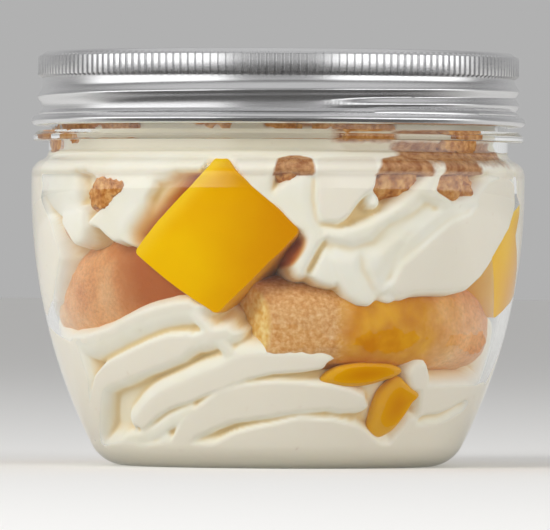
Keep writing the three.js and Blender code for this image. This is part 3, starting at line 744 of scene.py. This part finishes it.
def mango_finish():
    finish = Finish("mango")
    finish.set({
        "Subsurface Weight": 0.1, "Subsurface Scale": 2 * MM, "Subsurface Radius": (1, 0.5, 0.02),
        "Roughness": 0.4, "Specular IOR Level": 0.08,
    })
    flesh = finish.noise(12, 2)
    fresh = finish.ramp(flesh, [(0.3, colour(246, 185, 0)), (0.7, colour(254, 203, 2))])
    # Painted shade: darker orange where core is painted, to the right across a cube's face and towards a
    # slice's middle, leaving the slice's rim bright as painted rim light
    orange_shade = finish.mix(finish.painted("core"), fresh, colour(206, 118, 0))
    # Painted highlight: brighter yellow along a cube's upper side, where its rounded edge catches the light
    finish.paint(finish.mix(finish.painted("glow"), orange_shade, colour(254, 208, 40)))
    fibres = finish.noise(0.9, 3, 0.5, (1, 1, 0.25))
    finish.relief(finish.bump(fibres, 0.1, 0.1))
    return finish.material


def crumb_finish():
    finish = Finish("biscuit_crumb")
    finish.set({"Roughness": 0.85, "Specular IOR Level": 0.2})
    finish.paint(finish.ramp(finish.noise(1.3, 5, 0.65), [
        (0.3, colour(156, 86, 34)), (0.48, colour(204, 138, 72)), (0.7, colour(240, 190, 124))]))
    grain = finish.bump(finish.noise(0.45, 4, 0.7), 0.5, 0.3)
    finish.relief(finish.bump(finish.pores(0.9), 0.4, 0.3, grain))
    return finish.material


# Jar: one wall, ring under the lid and rounded rim
def make_jar():
    edge, rim = FLANGE["edge"], NECK["rim_round"]
    outer = wall_line(0, FLANGE["bottom"])[:, :2].tolist()
    inner = wall_line(BODY["wall"], NECK["rim"] - rim)[:, :2].tolist()
    ring = [(FLANGE["radius"] - edge, FLANGE["bottom"])]
    ring += arc_points(FLANGE["radius"] - edge, FLANGE["bottom"] + edge, edge, -math.pi / 2, 0, 4)
    ring += arc_points(FLANGE["radius"] - edge, FLANGE["top"] - 3 * edge, edge, 0, math.pi / 3, 4)
    ring += [(FLANGE["top_radius"], FLANGE["top"]), (NECK["radius"], FLANGE["top"])]
    lip = arc_points(NECK["radius"] - rim, NECK["rim"] - rim, rim, 0, math.pi / 2, 5)
    lip += arc_points(NECK["radius"] - BODY["wall"] + rim, NECK["rim"] - rim, rim, math.pi / 2, math.pi, 5)
    jar = turned("clear_jar", outer + ring + lip + inner[::-1][1:], BODY["steps"])
    hand_over(jar, "jar", clear_jar_finish(), sharp=40)


# Stand of the rolled thread above the skirt, along its helix
def bead_rise(azimuth, height):
    rise = np.zeros_like(height)
    first = (azimuth - BEAD["start"]) % 360
    for turn in range(2):
        travel = first + 360 * turn
        crest = BEAD["height"] + BEAD["pitch"] * travel / 360
        fade = smoothstep(0, BEAD["fade"], np.minimum(travel, BEAD["sweep"] - travel))
        across = (height - crest) / BEAD["half"]
        rise = np.maximum(rise, BEAD["rise"] * fade * np.exp(-across * across))
    return rise


# Lid turned as one skin, then ribs and thread pushed in and out of it
def make_lid():
    edge = KNURL["root"] - LID_TOP["step"] - LID_TOP["radius"]
    under = LID_TOP["height"] - LID_TOP["thickness"]
    half_turn = math.pi
    outline = [(0, LID_TOP["height"]), (0.5 * LID_TOP["radius"], LID_TOP["height"])]
    outline += arc_points(LID_TOP["radius"], LID_TOP["height"] - edge, edge, half_turn / 2, half_turn / 8, 7)
    soft = KNURL["round"]
    outline += arc_points(KNURL["crest"] - soft, KNURL["top"] - soft, soft, half_turn / 2, 0, 5)
    outline += arc_points(KNURL["crest"] - soft, KNURL["bottom"] + soft, soft, 0, -half_turn / 2, 5)
    for share in np.linspace(0, 1, SKIRT["rows"]):
        outline.append((SKIRT["radius"], SKIRT["top"] + share * (SKIRT["bottom"] - SKIRT["top"])))
    outline.append((FLARE["radius"], FLARE["height"]))
    outline += arc_points(CURL["centre"], CURL["height"], CURL["radius"],
                          half_turn * (CURL["half_turns"] - 1), -half_turn, 20)
    outline += [(SKIRT["bore"], CURL["height"]), (SKIRT["bore"], under), (0, under)]
    lid = turned("screw_lid", outline, len(RIB) * KNURL["ribs"])
    points = read_points(lid)
    radius = np.hypot(points[:, 0], points[:, 1])
    azimuth = np.degrees(np.arctan2(points[:, 0], -points[:, 1]))
    height = points[:, 2]
    on_skirt = np.abs(radius - SKIRT["radius"]) < NEAR
    stand = np.where(on_skirt, bead_rise(azimuth, height), 0)
    on_rib = (radius > SKIRT["radius"] + NEAR) & (height > KNURL["bottom"] - NEAR)
    spot = azimuth * KNURL["ribs"] / 360
    share, valley = np.array(RIB)[np.round(spot * len(RIB)).astype(int) % len(RIB)].T
    groove = (KNURL["crest"] - KNURL["root"]) * valley
    stand -= np.where(on_rib, np.minimum(radius - SKIRT["radius"], groove), 0)
    shift = (share - spot + 0.5) % 1 - 0.5
    points = polar(azimuth + shift * 360 / KNURL["ribs"], radius + np.where(radius > 1, stand, 0), height)
    write_points(lid, points)
    hand_over(lid, "lid", aluminium_finish(), sharp=50)


# Slow uneven drift over the wall, a sum of waves with drawn phases
def drift(azimuth, travel, size, count, random):
    total = 0
    for _ in range(count):
        turns = max(1, round(random.uniform(0.5, 1.2) * 2 * math.pi * 40 / size))
        along = random.uniform(-1.2, 1.2) * 2 * math.pi / size
        total = total + np.sin(np.radians(azimuth) * turns + along * travel + random.uniform(0, 2 * math.pi))
    return total / math.sqrt(count)


# Fall of a rounded edge: an arc, then a steep straight flank
def fall_off(gap, rounding):
    steep = 0.94
    bend = np.clip(gap / rounding, 0, steep)
    slope = steep / math.sqrt(1 - steep * steep)
    return rounding * (1 - np.sqrt(1 - bend * bend)) + slope * np.maximum(0, gap - steep * rounding)


# Along every stretch of a path: its ends, share of the stretch, distance from it and whether left of it
def along_path(path, azimuth, radius, travel, travel_at):
    for start, end in zip(path, path[1:]):
        run = np.radians(end[0] - start[0]) * radius
        rise = travel_at(end[1]) - travel_at(start[1])
        across = np.radians(wrap_angle(azimuth - start[0])) * radius
        up = travel - travel_at(start[1])
        share = np.clip((across * run + up * rise) / (run * run + rise * rise), 0, 1)
        off_across = across - share * run
        off_up = up - share * rise
        yield start, end, share, np.hypot(off_across, off_up), run * off_up - rise * off_across > 0


# Depth of one fold below the glass at every spot of the relief
def fold_depth(fold, azimuth, radius, travel, travel_at):
    path, left, right, crest = fold
    depth = np.full(np.broadcast(azimuth, travel).shape, np.inf)
    for start, end, share, gap, on_left in along_path(path, azimuth, radius, travel, travel_at):
        gap = gap - (start[2] + share * (end[2] - start[2]))
        depth = np.minimum(depth, crest + fall_off(gap, np.where(on_left, left, right)))
    return depth


# Extra depth of one crease between folds
def crease_depth(crease, azimuth, radius, travel, travel_at):
    path, left, right, deep = crease
    depth = np.zeros(np.broadcast(azimuth, travel).shape)
    for _, _, _, gap, on_left in along_path(path, azimuth, radius, travel, travel_at):
        depth = np.maximum(depth, deep * smoothstep(1, 0, gap / np.where(on_left, left, right)))
    return depth


# Depth of one flat sheet below the glass: level inside its outline, falling away outside
def sheet_depth(sheet, azimuth, radius, travel, travel_at):
    outline, rounding, crest = sheet
    first = outline[0][0]
    across = np.radians(wrap_angle(azimuth - first)) * radius
    gap = np.full(np.broadcast(azimuth, travel).shape, np.inf)
    inside = np.zeros(gap.shape, bool)
    for (from_azimuth, from_height), (to_azimuth, to_height) in zip(outline, outline[1:] + outline[:1]):
        start = np.radians(from_azimuth - first) * radius
        run = np.radians(to_azimuth - from_azimuth) * radius
        low = travel_at(from_height)
        rise = travel_at(to_height) - low
        share = np.clip(((across - start) * run + (travel - low) * rise) / (run * run + rise * rise), 0, 1)
        gap = np.minimum(gap, np.hypot(across - start - share * run, travel - low - share * rise))
        beside = across < start + run * (travel - low) / (rise or 1)
        inside ^= ((low > travel) != (low + rise > travel)) & beside
    return crest + fall_off(np.where(inside, 0, gap), rounding)


# Folds and sheets of the shown side, repeated on the far side
def all_around(pieces):
    far = [([(spot[0] + 180, *spot[1:]) for spot in path], *rest) for path, *rest in pieces]
    return pieces + far


def softened(depth, passes):
    for _ in range(passes):
        sides = np.roll(depth, 1, axis=1) + np.roll(depth, -1, axis=1)
        depth = 0.5 * depth + 0.25 * sides
        middle = 0.5 * depth[1:-1] + 0.25 * (depth[:-2] + depth[2:])
        depth = np.concatenate([depth[:1], middle, depth[-1:]])
    return depth


# Edge of a slice: its outline rounded into a closed curve
def leaf_edge(leaf):
    spots = np.array(LEAVES[leaf])
    for _ in range(3):
        after = np.roll(spots, -1, axis=0)
        spots = np.stack([0.75 * spots + 0.25 * after, 0.25 * spots + 0.75 * after], axis=1).reshape(-1, 2)
    return spots


# Place of wall spots on a cube's outer face: along its sides from its middle, and the turn from it
def on_cube(azimuth, heights, cube):
    middle, height, face, roll, *_ = cube
    turn = np.radians(wrap_angle(azimuth - middle))
    across = face * np.tan(np.clip(turn, -CUBE_HOLLOW["facing"], CUBE_HOLLOW["facing"]))
    up = (heights - height) / MANGO["squash"]
    spin = math.radians(roll)
    other = up * math.cos(spin) - across * math.sin(spin)
    taper = 1 + MANGO["taper"] * other / (0.5 * MANGO["side"])
    one = (across * math.cos(spin) + up * math.sin(spin)) / taper
    return one, other, turn


# Hollow in the cream where a cube lies: the wall's distance to the cube's outer face
def cube_hollow(azimuth, heights, radius):
    hollow = np.full(np.broadcast(azimuth, heights).shape, -np.inf)
    facing = CUBE_HOLLOW["facing"]
    for cube in MANGO_CUBES.values():
        one, other, turn = on_cube(azimuth, heights, cube)
        face, _, wide, high = cube[2:]
        half = 0.5 * MANGO["side"]
        outside = np.maximum(np.abs(one) - half * wide, np.abs(other) - half * high)
        inside = smoothstep(0, CUBE_HOLLOW["soft"], CUBE_HOLLOW["margin"] - outside) * (np.abs(turn) < facing)
        behind = radius - face / np.cos(np.clip(turn, -facing, facing)) + CUBE_HOLLOW["behind"]
        hollow = np.maximum(hollow, np.where(inside > 0, inside * behind, -np.inf))
    return hollow


# Share of the soft gap beside a cube: 1 at its upper left side, 0 away from it
def cube_gap(azimuth, heights):
    gap = np.zeros(np.broadcast(azimuth, heights).shape)
    for name in CUBE_GAP["cubes"]:
        cube = MANGO_CUBES[name]
        one, other, turn = on_cube(azimuth, heights, cube)
        half = 0.5 * MANGO["side"]
        off = np.abs(other - half * cube[5])
        corner = half * cube[4]
        ends = smoothstep(corner + CUBE_GAP["past"], corner - CUBE_GAP["short"], np.abs(one))
        beside = smoothstep(CUBE_GAP["width"], 0, off) * (np.abs(turn) < CUBE_HOLLOW["facing"])
        gap = np.maximum(gap, beside * ends)
    return gap


# How far inside an oval on the wall each spot lies, 1 at its middle and 0 outside
def oval_share(azimuth, heights, radius, oval):
    middle, height, half_across, half_up, roll = oval
    across = np.radians(wrap_angle(azimuth - middle)) * radius
    up = heights - height
    spin = math.radians(roll)
    one = (across * math.cos(spin) + up * math.sin(spin)) / half_across
    other = (up * math.cos(spin) - across * math.sin(spin)) / half_up
    return np.clip(1 - one * one - other * other, 0, 1)


# Hollow in the cream where a thin slice lies
def slice_hollow(azimuth, heights, radius):
    hollow = np.full(np.broadcast(azimuth, heights).shape, -np.inf)
    for middle, height, leaf in MANGO_SLICES.values():
        edge = leaf_edge(leaf)
        across = np.radians(wrap_angle(azimuth - middle)) * radius
        up = heights - height
        turn = np.arctan2(up, across)
        edge_turn = np.arctan2(edge[:, 1], edge[:, 0])
        order = np.argsort(edge_turn)
        reach = np.interp(turn, edge_turn[order], np.hypot(*edge[order].T), period=2 * math.pi)
        share = np.clip(1 - np.hypot(across, up) / reach, 0, 1)
        deep = SLICE["hollow"] * smoothstep(0, SLICE["hollow_edge"], share)
        hollow = np.maximum(hollow, np.where(share > 0, deep, -np.inf))
    return hollow


def crumb_ovals():
    share = CRUMB_HOLLOW["share"]
    return [(azimuth, height, share * across, share * up, roll)
            for azimuth, height, across, up, _, roll in CRUMBS]


# How far the cream fills the bend of the shoulder, from higher up where a cube lies
def shoulder_share(heights, on_cubes):
    soft = SHOULDER_FILL["soft"]
    low = np.where(on_cubes > 0, SHOULDER_FILL["on_pieces"], SHOULDER_FILL["low"])
    top = smoothstep(SHOULDER_FILL["high"], SHOULDER_FILL["high"] - soft, heights)
    return top * smoothstep(0, soft, heights - low)


# Share of smeared crumb on every spot, on the shown side and the far side
def smears(azimuth, heights):
    share = np.zeros(np.broadcast(azimuth, heights).shape)
    for first, last, low, high in SMEARS:
        up = between(heights - 0.5 * (low + high), 0.5 * (high - low), SMEAR_EDGE["up"])
        for side in (0, 180):
            off_middle = wrap_angle(azimuth - side - 0.5 * (first + last))
            along = between(off_middle, 0.5 * (last - first), SMEAR_EDGE["along"])
            share = np.maximum(share, along * up)
    return share


# Piped cream as a relief pressed against the glass, closed below and above by plain caps
def piped_cream(name, span, folds, sheets, creases, core):
    wall, travel, travel_at = inner_rows(span["start_radius"], span["low"], span["high"])
    random = np.random.default_rng(CREAM["seed"])
    azimuth = np.arange(CREAM["around"])[None, :] * 360 / CREAM["around"] - 180
    radius, heights = wall[:, :1], wall[:, 1:2]
    spots = travel[:, None]
    sway = CREAM["sway"] * drift(azimuth, spots, CREAM["wave"], 5, random)
    lift = CREAM["sway"] * drift(azimuth, spots, CREAM["wave"], 5, random)
    swayed = azimuth + np.degrees(sway / radius)
    lifted = spots + lift
    depth = core(azimuth, heights) + CREAM["swell"] * drift(azimuth, spots, CREAM["wave"], 4, random)

    # Hollows of the pieces, with folds and sheets laid over them
    on_cubes = cube_hollow(azimuth, heights, radius)
    depth = np.maximum(depth, on_cubes)
    on_crumbs = np.zeros(depth.shape)
    for oval in crumb_ovals():
        on_crumbs = np.maximum(on_crumbs, oval_share(azimuth, heights, radius, oval))
    crumb_hollow = CRUMB_HOLLOW["deep"] * on_crumbs ** CRUMB_HOLLOW["fullness"]
    depth = np.where(on_crumbs > 0, np.maximum(depth, crumb_hollow), depth)
    depth = np.maximum(depth, slice_hollow(azimuth, heights, radius))
    for fold in all_around(folds):
        depth = np.minimum(depth, fold_depth(fold, swayed, radius, lifted, travel_at))
    for sheet in all_around(sheets):
        depth = np.minimum(depth, sheet_depth(sheet, swayed, radius, lifted, travel_at))
    pinched = np.zeros(depth.shape)
    for crease in all_around(creases):
        pinched = np.maximum(pinched, crease_depth(crease, swayed, radius, lifted, travel_at))
    depth = depth + pinched
    under_shoulder = smoothstep(SHOULDER_FILL["on_pieces"], SHOULDER_FILL["low"], heights)
    gap = cube_gap(azimuth, heights) * under_shoulder
    depth = np.maximum(depth, np.where(gap > 0, CUBE_GAP["deep"] * gap, -np.inf))
    depth = softened(depth, 1)

    def grown(tint, value):
        return smoothstep(*CREAM_TINTS[tint], value)

    # Juice stain with painted shade and painted mango reflection: in the gap beside a cube and in the listed
    # ovals
    stain_and_shade = gap
    for oval in STAIN_AND_SHADE_OVALS:
        stain_and_shade = np.maximum(stain_and_shade, grown("oval", oval_share(azimuth, heights, radius, oval)))
    filled = shoulder_share(heights, on_cubes)
    clear = 1 - filled
    shallow = np.minimum(depth, CREAM["deepest_crease"])
    tints = {
        # Painted shade in the creases
        "crease": clear * grown("crease", shallow - softened(shallow, CREAM["crease_spread"])),
        # Painted shade where the cream lies flat on the glass
        "contact_shade": 1 - grown("contact_shade", depth),
        # Painted shade in the deep parts
        "hollow": clear * grown("hollow", depth),
        # Juice stain with painted shade beside the mango and in the ovals
        "stain_and_shade": clear * grown("stain_and_shade", stain_and_shade),
        "juice_and_shade": clear * grown("juice_and_shade", stain_and_shade),
        "shade": grown("shade", heights) + 0 * azimuth,
        "smear": np.maximum(smears(azimuth, heights), grown("band", filled) * grown("on_crumb", on_crumbs)),
    }

    # Skin with its grain, from the cap below to the cap above
    depth = np.maximum(depth + CREAM["grain"] * drift(azimuth, spots, CREAM["grain_wave"], 6, random), -SUNK)
    depth = depth * clear - SHOULDER_FILL["reach"] * filled
    depth = np.minimum(depth, np.maximum(radius - CREAM["core_radius"], 1))
    skin = polar(azimuth, radius - depth * wall[:, 2:3], heights - depth * wall[:, 3:4])
    low_shares = np.linspace(0, 1, CREAM["low_rings"], endpoint=False)
    high_shares = np.linspace(0, 1, CREAM["high_rings"], endpoint=False)[::-1]
    low_cap = [skin[:1] * (share, share, 1) for share in low_shares]
    high_cap = [skin[-1:] * (share, share, 1) + (0, 0, span["dome"] * (1 - share)) for share in high_shares]
    caps = ((len(low_cap), len(high_cap)), (0, 0))
    tints = {tint: np.pad(values, caps) for tint, values in tints.items()}
    return wrapped_skin(name, np.concatenate(low_cap + [skin] + high_cap), tints)


def make_cream(finish):
    def base_core(azimuth, heights):
        foot = smoothstep(*BASE_CORE["foot"], heights)
        past_rim = np.maximum(0, heights - BASE_CORE["rim"])
        return BASE_CORE["deep"] * foot - BASE_CORE["foot_reach"] + BASE_CORE["fall"] * past_rim + 0 * azimuth

    def top_core(azimuth, heights):
        rim = np.interp((azimuth + 90) % 180 - 90, *zip(*TOP_RIM))
        return TOP_CORE["deep"] + TOP_CORE["fall"] * np.maximum(0, rim - heights)

    base = piped_cream("piped_cream_base", BASE_SPAN, BASE_FOLDS, BASE_SHEETS, BASE_CREASES, base_core)
    hand_over(base, "cream_base", finish)
    top = piped_cream("piped_cream_top", TOP_SPAN, TOP_FOLDS, TOP_SHEETS, TOP_CREASES, top_core)
    hand_over(top, "cream_top", finish)


# Halved sponge finger bent along the wall, cut flat at one end and round at the other
def make_biscuit(name, start, end, height, climb, stout, soaked, shaded_shares, finish):
    length = BISCUIT["bend"] * math.radians(abs(end - start))
    round_share = BISCUIT["half_height"] / length
    share = np.linspace(0, 1, BISCUIT["rings"])
    into_round = np.clip((share - 1 + round_share) / round_share, 0, 1)
    thick = np.sqrt(np.maximum(0, 1 - into_round ** BISCUIT["bluntness"]))
    around = np.arange(BISCUIT["sides"]) * 2 * math.pi / BISCUIT["sides"]
    caps = np.linspace(0, 1, BISCUIT["cut_rings"], endpoint=False)
    share = np.concatenate([np.zeros_like(caps), share])[:, None]
    thick = np.concatenate([caps, thick])[:, None]
    cut = np.concatenate([np.ones_like(caps), np.zeros(BISCUIT["rings"])])[:, None]
    sides, tops = np.sin(around)[None, :], np.cos(around)[None, :]
    out = BISCUIT["half_width"] * thick * np.sign(sides) * np.abs(sides) ** BISCUIT["squareness"]
    up = stout * BISCUIT["half_height"] * thick * np.sign(tops) * np.abs(tops) ** BISCUIT["squareness"]
    slope = math.atan2(climb, BISCUIT["bend"] * math.radians(end - start))
    azimuth = start + share * (end - start) - np.degrees(up * math.sin(slope) / BISCUIT["bend"])
    slant = math.copysign(BISCUIT["slant"], end - start) * smoothstep(BISCUIT["slant_share"], 0, share)
    azimuth = azimuth + slant * out / BISCUIT["half_width"]
    points = polar(azimuth, BISCUIT["bend"] + out, height + climb * (share - 0.5) + up * math.cos(slope))
    spread = np.ones_like(out)

    def stretch(tint, ends):
        return smoothstep(*BISCUIT_TINTS[tint], np.minimum(share - ends[0], ends[1] - share)) * spread

    tints = {
        "cut": cut * spread,
        # Inner flank of the cut, partly soak and partly painted shade
        "soaked_shaded_flank": cut * smoothstep(*BISCUIT_TINTS["soaked_shaded_flank"], out),
        "sugar": smoothstep(*BISCUIT_TINTS["sugar"], share) * spread,
        "soak": stretch("soak", soaked),
        # Painted brown shade over the given shares of the length
        "brown_shade": stretch("brown_shade", shaded_shares),
    }
    biscuit = wrapped_skin("sponge_" + name, points, tints)
    roughen(biscuit, "biscuit")
    press_to_glass(biscuit)
    hand_over(biscuit, name, finish)


# Place on the inner wall: X along the wall, Y up, Z out through the glass
def wall_place(azimuth, radius, height):
    out = Vector(polar(azimuth, 1, 0))
    along = Vector(polar(azimuth + 90, 1, 0))
    turn = Matrix((along, Vector((0, 0, 1)), out)).transposed().to_4x4()
    return Matrix.Translation(Vector(polar(azimuth, radius, height)) * MM) @ turn


# Mango cube, one corner up where it is rolled, with its outer face on the glass
def make_cube(name, azimuth, height, face, roll, wide, high, finish):
    clear_selection()
    side = MANGO["side"]
    bpy.ops.mesh.primitive_cube_add(size=side * MM, location=(0, 0, 0))
    cube = named("cut_" + name)
    bpy.ops.object.mode_set(mode="EDIT")
    bpy.ops.mesh.select_all(action="SELECT")
    bpy.ops.transform.resize(value=(1, 1, MANGO["depth"] / side))
    bpy.ops.mesh.bevel(offset=MANGO["bevel"] * MM, segments=3)
    bpy.ops.mesh.select_all(action="SELECT")
    bpy.ops.mesh.subdivide(number_cuts=MANGO["cuts"])
    bpy.ops.object.mode_set(mode="OBJECT")
    cube.data.transform(Matrix.Translation((0, 0, -0.5 * MANGO["depth"] * MM)))
    cube.data.transform(Matrix.Diagonal((wide, high, 1, 1)))
    points = read_points(cube)
    top_side = 0.5 * high * side
    # Painted highlight along the cube's upper side
    paint(cube, "glow", smoothstep(top_side - MANGO["glow_width"], top_side, points[:, 1]))
    points[:, 0] *= 1 + MANGO["taper"] * points[:, 1] / (0.5 * side)
    write_points(cube, points)
    cube.data.transform(Matrix.Rotation(math.radians(roll), 4, "Z"))
    cube.data.transform(Matrix.Diagonal((1, MANGO["squash"], 1, 1)))
    cube.data.transform(wall_place(azimuth, face, height))
    roughen(cube, "mango_cube")
    lay_on_glass(cube, azimuth, face)
    press_to_glass(cube)
    hand_over(cube, name, finish)


# The outer face of a cube moves out until it follows the curved wall, and gets painted orange shade towards
# its right
def lay_on_glass(cube, azimuth, face):
    points = read_points(cube)
    radius = np.hypot(points[:, 0], points[:, 1])
    turn = np.arctan2(points[:, 0], -points[:, 1]) - math.radians(azimuth)
    turn = (turn + math.pi) % (2 * math.pi) - math.pi
    ahead = radius * np.cos(turn)
    behind = np.maximum(0, face - MANGO["skin"] - ahead)
    target = glass_limit(points[:, 2]) - behind / np.cos(turn)
    share = smoothstep(face - MANGO["moved_share"] * MANGO["depth"], face - MANGO["moved_fully"], ahead)
    points[:, :2] *= (1 + share * (target - radius) / radius)[:, None]
    write_points(cube, points)
    # Painted shade: oranger towards the right of the face, standing in for light falling from the left
    paint(cube, "core", MANGO["orange_shade_strength"] * smoothstep(*MANGO["orange_shade"], radius * np.sin(turn)))


# Thin slice that lies on the curved glass, with painted rim light: bright at its rim, painted orange shade
# towards its middle
def make_slice(name, azimuth, height, leaf, finish):
    edge = leaf_edge(leaf)
    front = np.linspace(0, 1, SLICE["rings"])
    reach = np.concatenate([front, front[::-1][1:]])[:, None]
    thick = np.sqrt(1 - reach ** SLICE["plumpness"])
    thick[len(front):] *= -1
    across, up = reach * edge[:, 0], height + reach * edge[:, 1]
    bore = bore_at(up)
    deep = 0.5 * SLICE["depth"] * (SLICE["proud"] - thick) + 0 * across
    points = polar(azimuth + np.degrees(across / bore), bore - deep, up)
    # Painted rim light and shade: less orange shade at the rim, more towards the middle
    tints = {"core": SLICE["rim_shade"] + SLICE["middle_shade"] * smoothstep(1, 0, reach) + 0 * across}
    piece = wrapped_skin("thin_" + name, points, tints)
    roughen(piece, "mango_slice")
    press_to_glass(piece)
    hand_over(piece, name, finish)


# Crumb against the glass, which flattens its outer side
def make_crumb(number, azimuth, height, across, up, deep, roll, finish):
    clear_selection()
    bpy.ops.mesh.primitive_ico_sphere_add(subdivisions=5, radius=0.5 * MM, location=(0, 0, 0))
    crumb = named(f"broken_crumb_{number}")
    crumb.data.transform(Matrix.Diagonal((across, up, deep, 1)))
    crumb.data.transform(Matrix.Rotation(math.radians(roll), 4, "Z"))
    bore = float(min(bore_at(height), bore_at(height + 0.5 * up)))
    crumb.data.transform(wall_place(azimuth, bore - 0.5 * deep + CRUMB_PUSH, height))
    roughen(crumb, "crumb")
    press_to_glass(crumb)
    hand_over(crumb, f"crumb_{number}", finish)


# Small crumbs strewn under the lid on the shown side and the far side
def make_loose_crumbs(finish):
    random = np.random.default_rng(LOOSE_CRUMBS["seed"])
    clear_selection()
    strewn = []
    for first, last in LOOSE_CRUMBS["stretches"]:
        for azimuth in np.arange(first, last, LOOSE_CRUMBS["spacing"]):
            size = random.uniform(*LOOSE_CRUMBS["radii"])
            height = random.uniform(*LOOSE_CRUMBS["heights"])
            spot = polar(azimuth + 180 * len(strewn), bore_at(height) - LOOSE_CRUMBS["back"] * size, height)
            bpy.ops.mesh.primitive_ico_sphere_add(subdivisions=3, radius=size * MM, location=spot * MM)
            strewn.append(bpy.context.active_object)
    for crumb in strewn:
        crumb.select_set(True)
    bpy.ops.object.join()
    bpy.ops.object.transform_apply()
    loose = named("loose_crumbs")
    roughen(loose, "loose_crumb")
    press_to_glass(loose)
    hand_over(loose, None, finish)


make_jar()
make_lid()
make_cream(cream_finish())
biscuit_crust = biscuit_finish()
for biscuit_name, route in BISCUITS.items():
    make_biscuit(biscuit_name, *route, biscuit_crust)
mango_flesh = mango_finish()
for cube_name, cube_place in MANGO_CUBES.items():
    make_cube(cube_name, *cube_place, mango_flesh)
for slice_name, slice_place in MANGO_SLICES.items():
    make_slice(slice_name, *slice_place, mango_flesh)
crumb_crust = crumb_finish()
for crumb_number, crumb_place in enumerate(CRUMBS, 1):
    make_crumb(crumb_number, *crumb_place, crumb_crust)
make_loose_crumbs(crumb_crust)


# Floor, light and camera
def make_floor():
    clear_selection()
    bpy.ops.mesh.primitive_circle_add(vertices=96, radius=FLOOR["radius"], fill_type="NGON")
    floor = named("floor")
    finish = Finish("pale_floor")
    finish.set({"Roughness": 0.9, "Specular IOR Level": 0})
    rays = finish.rays()
    dim, bounce, pale = colour(60, 59, 58), colour(220, 218, 214), colour(246, 245, 243)
    back = finish.fade(finish.split(finish.place)["Y"], FLOOR["dim_before"], FLOOR["pale_past"], 0, 1)
    mirrored = finish.mix(back, dim, pale)
    direct = finish.mix(rays["Is Camera Ray"], mirrored, pale)
    through_glass = finish.mix(rays["Transmission Depth"], direct, pale)
    finish.paint(finish.mix(rays["Is Diffuse Ray"], through_glass, bounce))
    floor.data.materials.append(finish.material)


def make_lamp(name, place, aim, size, power):
    lamp = bpy.data.lights.new(name, "AREA")
    lamp.shape = "RECTANGLE"
    lamp.size, lamp.size_y = size
    lamp.energy = power
    holder = bpy.data.objects.new(name, lamp)
    holder.location = place
    holder.rotation_euler = (Vector(aim) - Vector(place)).to_track_quat("-Z", "Y").to_euler()
    holder.visible_glossy = False
    bpy.context.collection.objects.link(holder)


# Grey surround that shows as bright strips beside the jar in the lid and the glass
def make_surround():
    world = bpy.data.worlds.new("studio")
    bpy.context.scene.world = world
    studio = Wiring(world)
    rays = studio.rays()
    direction = studio.split(studio.nodes.new("ShaderNodeTexCoord").outputs["Generated"])
    aside, ahead, above = direction["X"], direction["Y"], direction["Z"]

    def run(part, value):
        return studio.fade(value, *SURROUND[part])

    beside = run("beside", studio.reckon("ABSOLUTE", aside))
    bright = studio.reckon("MAXIMUM", beside, run("over_level", above))
    in_front = studio.reckon("MULTIPLY", bright, run("in_front", ahead))
    strips = studio.reckon("MULTIPLY", in_front, run("level", studio.reckon("ABSOLUTE", above)))
    backed = studio.reckon("MAXIMUM", strips, run("behind", ahead))
    mirrored = studio.reckon("MAXIMUM", backed, run("overhead", above))
    through_glass = studio.choose(rays["Transmission Depth"], mirrored, SURROUND["through_glass"])
    around = studio.choose(rays["Is Diffuse Ray"], through_glass, run("lighting", above))
    seen = studio.choose(rays["Is Camera Ray"], around, SURROUND["seen"])
    studio.links.new(seen, studio.nodes["Background"].inputs["Color"])


def make_camera():
    data = bpy.data.cameras.new("camera")
    data.lens = CAMERA["lens"]
    data.sensor_width = CAMERA["sensor"]
    camera = bpy.data.objects.new("camera", data)
    camera.location = CAMERA["place"]
    look = (Vector(CAMERA["aim"]) - camera.location).to_track_quat("-Z", "Y").to_matrix().to_4x4()
    roll = Matrix.Rotation(math.radians(CAMERA["roll"]), 4, "Z")
    camera.rotation_euler = (look @ roll).to_euler()
    bpy.context.collection.objects.link(camera)
    bpy.context.scene.camera = camera


make_floor()
make_surround()
for lamp_name, lamp_place in LAMPS.items():
    make_lamp(lamp_name, *lamp_place)
make_camera()
bpy.context.scene.view_settings.view_transform = "Standard"
